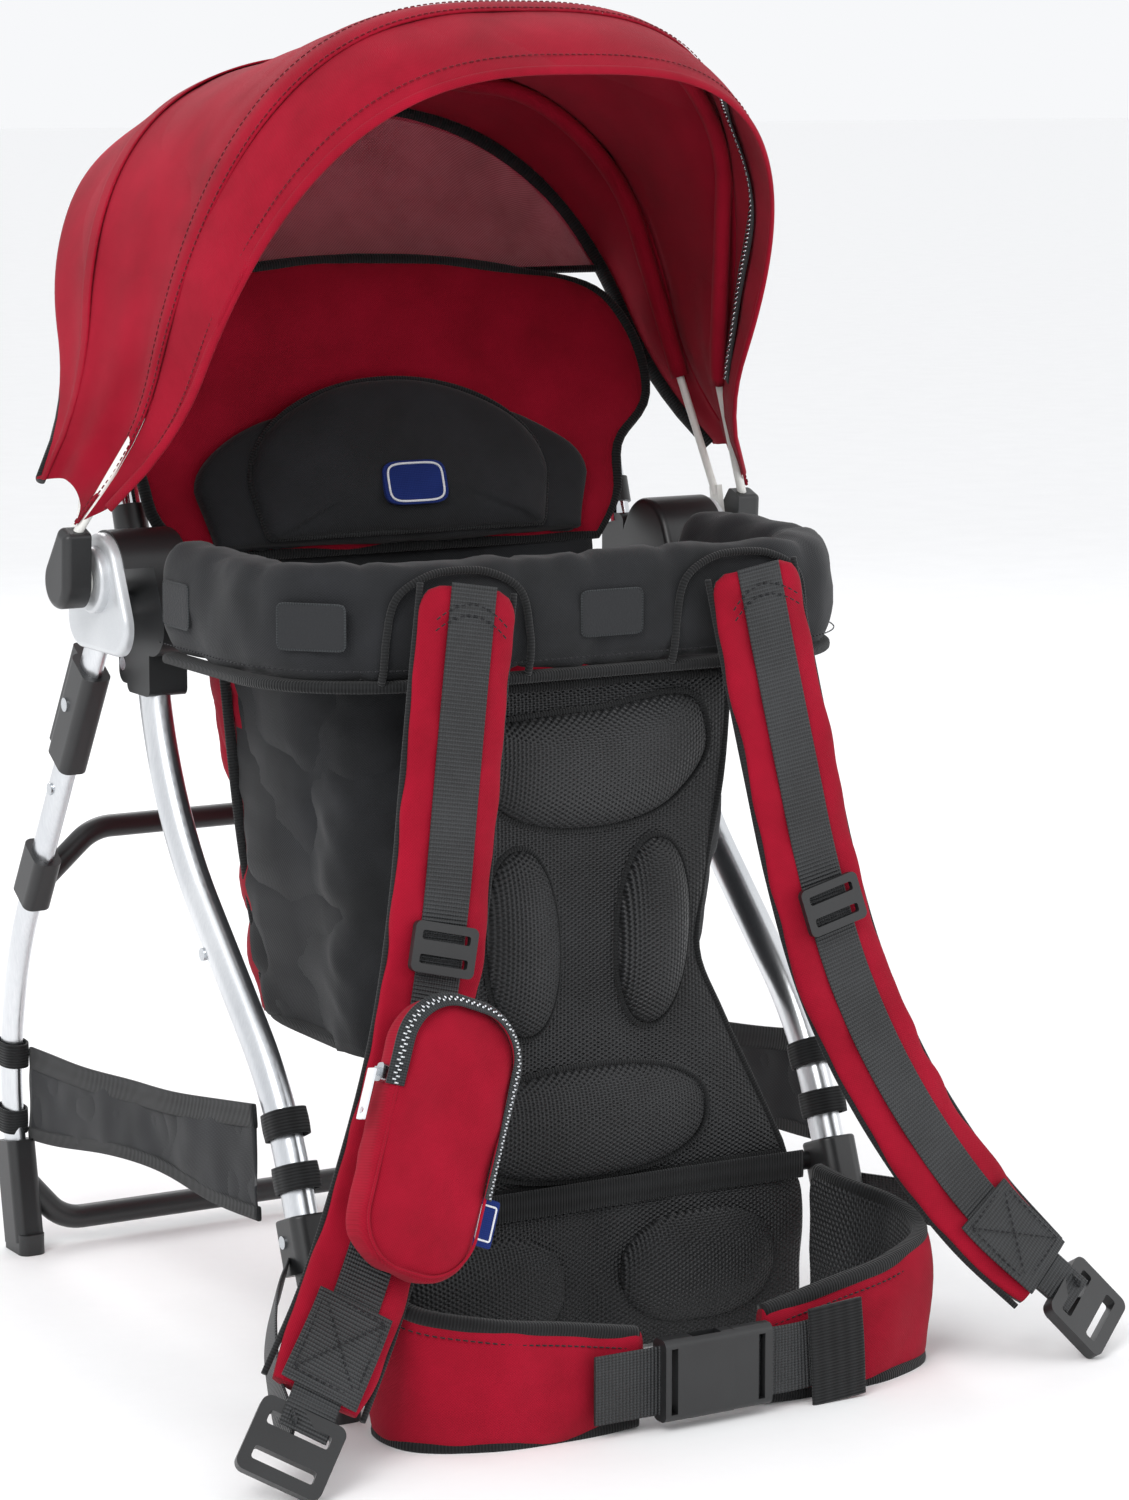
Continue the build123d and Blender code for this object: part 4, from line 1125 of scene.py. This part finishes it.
def make_belt():
    buckle_low, buckle_high = (np.array(corner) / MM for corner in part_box("buckle_socket"))
    buckle_y, buckle_z = (buckle_low[1] + buckle_high[1]) / 2, (buckle_low[2] + buckle_high[2]) / 2
    for name, flip in SIDES:
        columns = np.hstack([np.array(WING_LINE, float), np.array(WING_HALF_HEIGHTS, float)[:, None]])
        dense = smooth_route(columns, 74)
        route = dense[:, :3] * flip
        half = dense[:, 3]
        level = route.copy()
        level[:, 2] = 0
        along = unit(np.gradient(level, axis=0))
        facing = np.cross(UP, along) * flip[0]
        section = oval(1.0, 1.0, 2.8, 40)
        outlines = np.stack([section * (h, WING_HALF_THICKNESS) for h in half])
        upright = np.tile(UP, (len(route), 1))
        rings = (
            route[:, None] + outlines[..., :1] * upright[:, None] + outlines[..., 1:] * facing[:, None]
        )
        outside = [0 if section[k, 1] + section[(k + 1) % 40, 1] < 0 else 1 for k in range(40)]
        wing = sleeve(f"belt_wing_cover_{name}", rings, ["red", "mesh"], "frame", outside)
        crumple(wing, 40, 4.2, 14.0 + flip[0])
        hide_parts(f"belt_wing_{name}")
        for edge, sign in (("top", 1), ("bottom", -1)):
            line = route + upright * (half * sign - sign * 1.0)[:, None]
            strip(
                f"belt_wing_{name}_{edge}_binding", line, facing, oval(4.6, 5.0, 2.6, 16), "binding", "frame",
            )
        inset = route + upright * (half - 9)[:, None]
        stitching(f"belt_wing_{name}_stitches", inset, -facing, "thread", "frame", 6.4)
    left = np.stack([np.linspace(-80, -33, 30), np.full(30, buckle_y), np.full(30, buckle_z)], axis=1)
    web = strip(
        "belt_web_left", left, (0, -1, 0), oval(BELT_WEB_HALF_WIDTH, 1.1, 6, 24), "webbing", "frame",
    )
    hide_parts("belt_webbing_left")
    right = smooth_route(
        [(32, buckle_y, buckle_z), (60, buckle_y, buckle_z), (96, buckle_y + 2, buckle_z + 3)], 40
    )
    web = strip(
        "belt_web_right", right, (0, -1, 0), oval(BELT_WEB_HALF_WIDTH, 1.1, 6, 24), "webbing", "buckle_plug",
    )
    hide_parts("belt_webbing_right")
    keeper = [
        (84, buckle_y - 3.5, buckle_z + 30), (86, buckle_y - 4.5, buckle_z),
        (88, buckle_y - 3.5, buckle_z - 30),
    ]
    line = smooth_route(keeper, 30)
    strip(
        "belt_keeper", line, (0, -1, 0), oval(19, 1.5, 5, 22), "binding", "buckle_plug"
    )


# ---------------------------------------------------------------- shoulder straps
STRAP_LINE = [
    (-98, -166, 490), (-108, -172, 430), (-118, -179, 371), (-129, -187, 308),
    (-147, -198, 236), (-183, -219, 150), (-222, -244, 86), (-252, -263, 50),
]
STRAP_FACING = [(0, -1, 0.1)] * 5 + [(-0.05, -1, 0.25), (-0.1, -1, 0.35), (-0.2, -1, 0.45)]
STRAP_HALF_WIDTH = 33.0
WEB_LIFT = 7.3  # of the webbing over the middle of the padded strap
WEB_HALF_WIDTH = 15.0


def strap_route(flip, count=150):
    dense = smooth_route(np.hstack([np.array(STRAP_LINE, float), np.array(STRAP_FACING, float)]), count)
    return dense[:, :3] * flip, dense[:, 3:] * flip


def make_shoulder_straps():
    for name, flip in SIDES:
        route, facing = strap_route(flip)
        along, across, outward = frames(route, facing)
        section = oval(1.0, 1.0, 3.0, 44)
        outlines = []
        for i in range(len(route)):
            share = i / (len(route) - 1)
            corner = max(0.0, 1 - share / 0.035)
            rounding = 0.62 + 0.38 * math.sqrt(1 - corner**2)
            taper = 5 * max(0.0, (share - 0.9) / 0.1) ** 2
            width = (STRAP_HALF_WIDTH - 1.5) * rounding - taper
            outlines.append(section * (width, 5.8 + 0.4 * math.sin(share * 38)))
        kinds = [0 if section[k, 1] + section[(k + 1) % 44, 1] > -0.2 else 1 for k in range(44)]
        strap = strip(
            f"shoulder_pad_{name}", route, facing, outlines, ["red", "mesh"], "frame", kinds,
        )
        crumple(strap, 26, 2.6, 17.0 + flip[0])
        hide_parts(f"shoulder_strap_{name}")
        for edge, sign in (("inner", 1), ("outer", -1)):
            line = route + across * sign * (STRAP_HALF_WIDTH - 1.6) - outward * 1.6
            piping(
                f"shoulder_pad_{name}_{edge}_piping", line, 1.9, "binding", "frame", facing,
            )
        line = route + outward * (WEB_LIFT - 0.2)
        ends = [line[0] - along[0] * 2, *line[1:], line[-1] + along[-1] * 26 + outward[-1] * 2]
        web_line = np.array(ends)
        web_facing = np.vstack([facing, facing[-1:]])[: len(web_line)]
        web = strip(
            f"shoulder_web_{name}", web_line, web_facing,
            oval(WEB_HALF_WIDTH, 0.95, 6, 24), "webbing", "frame",
        )
        if name == "left":
            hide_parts("strap_webbing")
        for row, offset in (("upper", 3), ("lower", 5)):
            here = route[offset] + outward[offset] * (WEB_LIFT + 0.9)
            reach = np.linspace(-24, 24, 14)[:, None]
            seam = here + across[offset] * reach + along[offset] * 0.02 * (reach**2)
            stitching(f"strap_top_{row}_stitches_{name}", seam, outward[offset], "thread", "frame", 0.3)
        make_strap_end(name, route, along, across, outward, facing)


def make_strap_end(name, route, along, across, outward, facing):
    """Folded webbing patch that holds the ladder-lock to the strap, sewn in a boxed cross."""
    last = slice(len(route) - 19, len(route))
    line = route[last] + outward[last] * (WEB_LIFT + 1.6)
    strip(
        f"strap_end_patch_{name}", line, facing[last], oval(24, 1.1, 6, 24), "webbing", "frame",
    )
    first, final = line[1], line[-3]
    side = across[-10] * 20
    corners = [first - side, first + side, final + side, final - side]
    runs = [(0, 1), (1, 2), (2, 3), (3, 0), (0, 2), (1, 3)]
    places = []
    for a, b in runs:
        seam = np.linspace(corners[a], corners[b], 12)
        places += row_of(seam, outward[-10], STITCH_SPACING, 1.5)
    blocks(f"strap_end_stitches_{name}", places, STITCH, "thread", "frame")


def make_load_straps():
    """Lower straps that draw the shoulder straps to the frame."""
    for name, flip in SIDES:
        points = [(-204, -126, 76), (-232, -170, 74), (-254, -212, 64), (-268, -252, 42), (-272, -274, 32)]
        route = smooth_route(points, 60) * flip
        web = strip(
            f"load_web_{name}", route, np.array([-1, 0.6, 0.3]) * flip,
            oval(WEB_HALF_WIDTH, 1.0, 6, 24), "webbing", "frame",
        )
        if name == "left":
            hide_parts("load_straps")


# ---------------------------------------------------------------- phone pouch
POUCH_HALF = (40.0, 82.0)
POUCH_DEPTH = 28.0


def pouch_plane():
    """The pouch's back: across it towards the left, down the strap, and out of its front."""
    a, b = np.array(STRAP_LINE[4], float), np.array(STRAP_LINE[5], float)
    along = unit(b - a)
    across = unit(np.cross(along, STRAP_FACING[4]))
    outward = unit(np.cross(across, along))
    return a + (b - a) * 0.66 + outward * (WEB_LIFT + 9.0) - across * 6, across, along, outward


def rounded_rectangle(half_x, half_y, radius, count):
    """Closed outline with round corners, evenly stepped, from the middle of its +x side."""
    points = []
    for sx, sy, first in ((1, 1, 0), (-1, 1, 90), (-1, -1, 180), (1, -1, 270)):
        for a in np.radians(np.linspace(first, first + 90, 24)):
            points.append(
                (sx * (half_x - radius) + radius * math.cos(a), sy * (half_y - radius) + radius * math.sin(a))
            )
    return even_outline(np.array(points), count)


def make_pouch():
    plane = pouch_plane()
    origin, across, along, outward = plane
    outline = rounded_rectangle(POUCH_HALF[0] - 1, POUCH_HALF[1] - 1, 32, 150)
    middle = (origin + outward * 8, across, along, outward)
    pouch = pad("pouch_body", middle, outline, POUCH_DEPTH - 9, 8, 5.5, "red", "frame")
    crumple(pouch, 44, 3.2, 21.0)
    crumple(pouch, 15, 0.9, 22.0)
    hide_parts("phone_pouch")
    # welt where the front panel meets the gusset
    welt = lay_out(plane, outline * (0.93, 0.965), POUCH_DEPTH - 3.2)
    piping("pouch_front_seam", welt, 0.9, "red", "frame", facing=outward, closed=True)
    rim = rounded_rectangle(POUCH_HALF[0] - 1.7, POUCH_HALF[1] - 1.7, 31.5, 220)
    angle = np.unwrap(np.arctan2(rim[:, 1], rim[:, 0]))
    order = np.argsort((angle - math.radians(12)) % (2 * math.pi))
    rim = rim[order]
    stretch = rim[(rim[:, 1] < -20) | ((rim[:, 0] < 0) & (rim[:, 1] < 26))]
    start = int(np.argmin(np.where(stretch[:, 0] < 0, -stretch[:, 1], np.inf)))
    stretch = np.roll(stretch, -start, axis=0)
    route = lay_out(plane, stretch, POUCH_DEPTH - 3.4)
    in_plane = unit(stretch)
    facing = unit(in_plane[:, :1] * across + in_plane[:, 1:] * along + outward)
    zip_fastener("pouch_zip", route, facing, 11.0, "frame")
    tab_plane = (origin + across * -(POUCH_HALF[0] + 4) + along * 38 + outward * 17, across, along, outward)
    tab = rounded_rectangle(7, 14, 1.5, 60)
    pad("pouch_tab", tab_plane, tab, 0.9, 0.9, 8.0, "label", "frame")
    ring = lay_out(tab_plane, tab * 0.72, 1.0)
    piping("pouch_tab_border", ring, 0.6, "white", "frame", facing=outward, closed=True)


# ---------------------------------------------------------------- side webs
def make_side_webs():
    """Cloth between the front tubes and the stand that stops the stand from opening further."""
    low, high = (np.array(corner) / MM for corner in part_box("side_web_left"))
    x = (low[0] + high[0]) / 2
    rows, columns = 26, 80
    for name, flip in SIDES:
        grid = np.zeros((rows, columns, 3))
        for k in range(columns):
            share = k / (columns - 1)
            y = -80 + (266 + 80) * share
            top = 172 - 36 * share - 7 * math.sin(math.pi * share)
            bottom = 104 - 27 * share + 8 * math.sin(math.pi * share) - 2.5 * math.sin(9 * share)
            for i in range(rows):
                down = i / (rows - 1)
                wave = 1.6 * math.sin(14 * share + 3 * down) * math.sin(math.pi * share)
                grid[i, k] = (x + wave, y + 5 * down * (2 * share - 1), top + (bottom - top) * down)
        grid = grid * flip
        web = cloth(f"side_web_cloth_{name}", grid, 1.2, "black", None)
        crumple(web, 26, 2.0, 30.0)
        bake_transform(web)
        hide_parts(f"side_web_{name}")
        declare_cloth(grid)
        for edge, row, half in (("top", 2, 7.5), ("bottom", rows - 2, 4.5)):
            band = strip(
                f"side_web_{name}_{edge}_band", grid[row], np.array([-1.0, 0, 0]) * flip,
                oval(half, 1.5, 5, 20), "binding", None,
            )
            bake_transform(band)
        make_web_loops(name, flip)


def make_web_loops(name, flip):
    """Bands that carry the web round the leg and round the front tube."""
    for place, middle, lean, body, half in (
        ("leg", (-208.5, 276.5, 134), (0, 0.05, -1), "stand", (8.6, 13.2)),
        ("leg_low", (-208.5, 280, 88), (0, 0.05, -1), "stand", (8.6, 13.2)),
        ("tube", (-188.0, -99, 164), (0, -0.45, -1), "frame", (12.2, 15.0)),
        ("tube_low", (-188.0, -113, 134), (0, -0.4, -1), "frame", (12.2, 15.0)),
    ):
        axis = unit(np.array(lean, float))
        side = unit(np.cross(axis, (1, 0, 0)))
        loop = oval(half[0], half[1], 2.4, 48)
        route = np.array(middle) + loop[:, :1] * np.array([1.0, 0, 0]) + loop[:, 1:] * side
        rings = []
        for depth in np.linspace(-1, 1, 9):
            grow = 1 + 0.03 * math.cos(depth * math.pi / 2)
            rings.append((route - middle) * grow + middle + axis * depth * 8)
        grid = np.array(rings) * flip
        cloth(f"web_loop_{place}_{name}", grid, 1.4, "binding", body, wrap=True)


# ---------------------------------------------------------------- the frame's own pieces
SLOT_FINISHES = {
    "aluminium_tube": "aluminium",
    "chromed_steel": "chrome",
    "black_plastic": "nylon",
    "silver_plastic": "silver",
    "steel_fastener": "zinc",
    "white_rod": "rod",
    "zip_metal": "zinc",
    "white_plastic": "white",
    "black_fabric": "black",
    "red_fabric": "red",
    "red_voile": "voile",
    "black_mesh": "mesh",
    "black_webbing": "webbing",
}


def finish_frame():
    """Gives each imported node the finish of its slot."""
    for row in frame["record"]["subparts"]:
        finish = FINISHES[SLOT_FINISHES[row["material_slot"]]]
        for holder in frame["nodes"][row["node"]].material_slots:
            holder.material = finish


# ---------------------------------------------------------------- the whole carrier
set_camera()
set_studio()
finish_frame()
make_canopy()
make_backrest()
make_headrest()
make_ring()
make_seat()
make_back_panel()
make_lumbar()
make_belt()
make_shoulder_straps()
make_load_straps()
make_pouch()
make_side_webs()
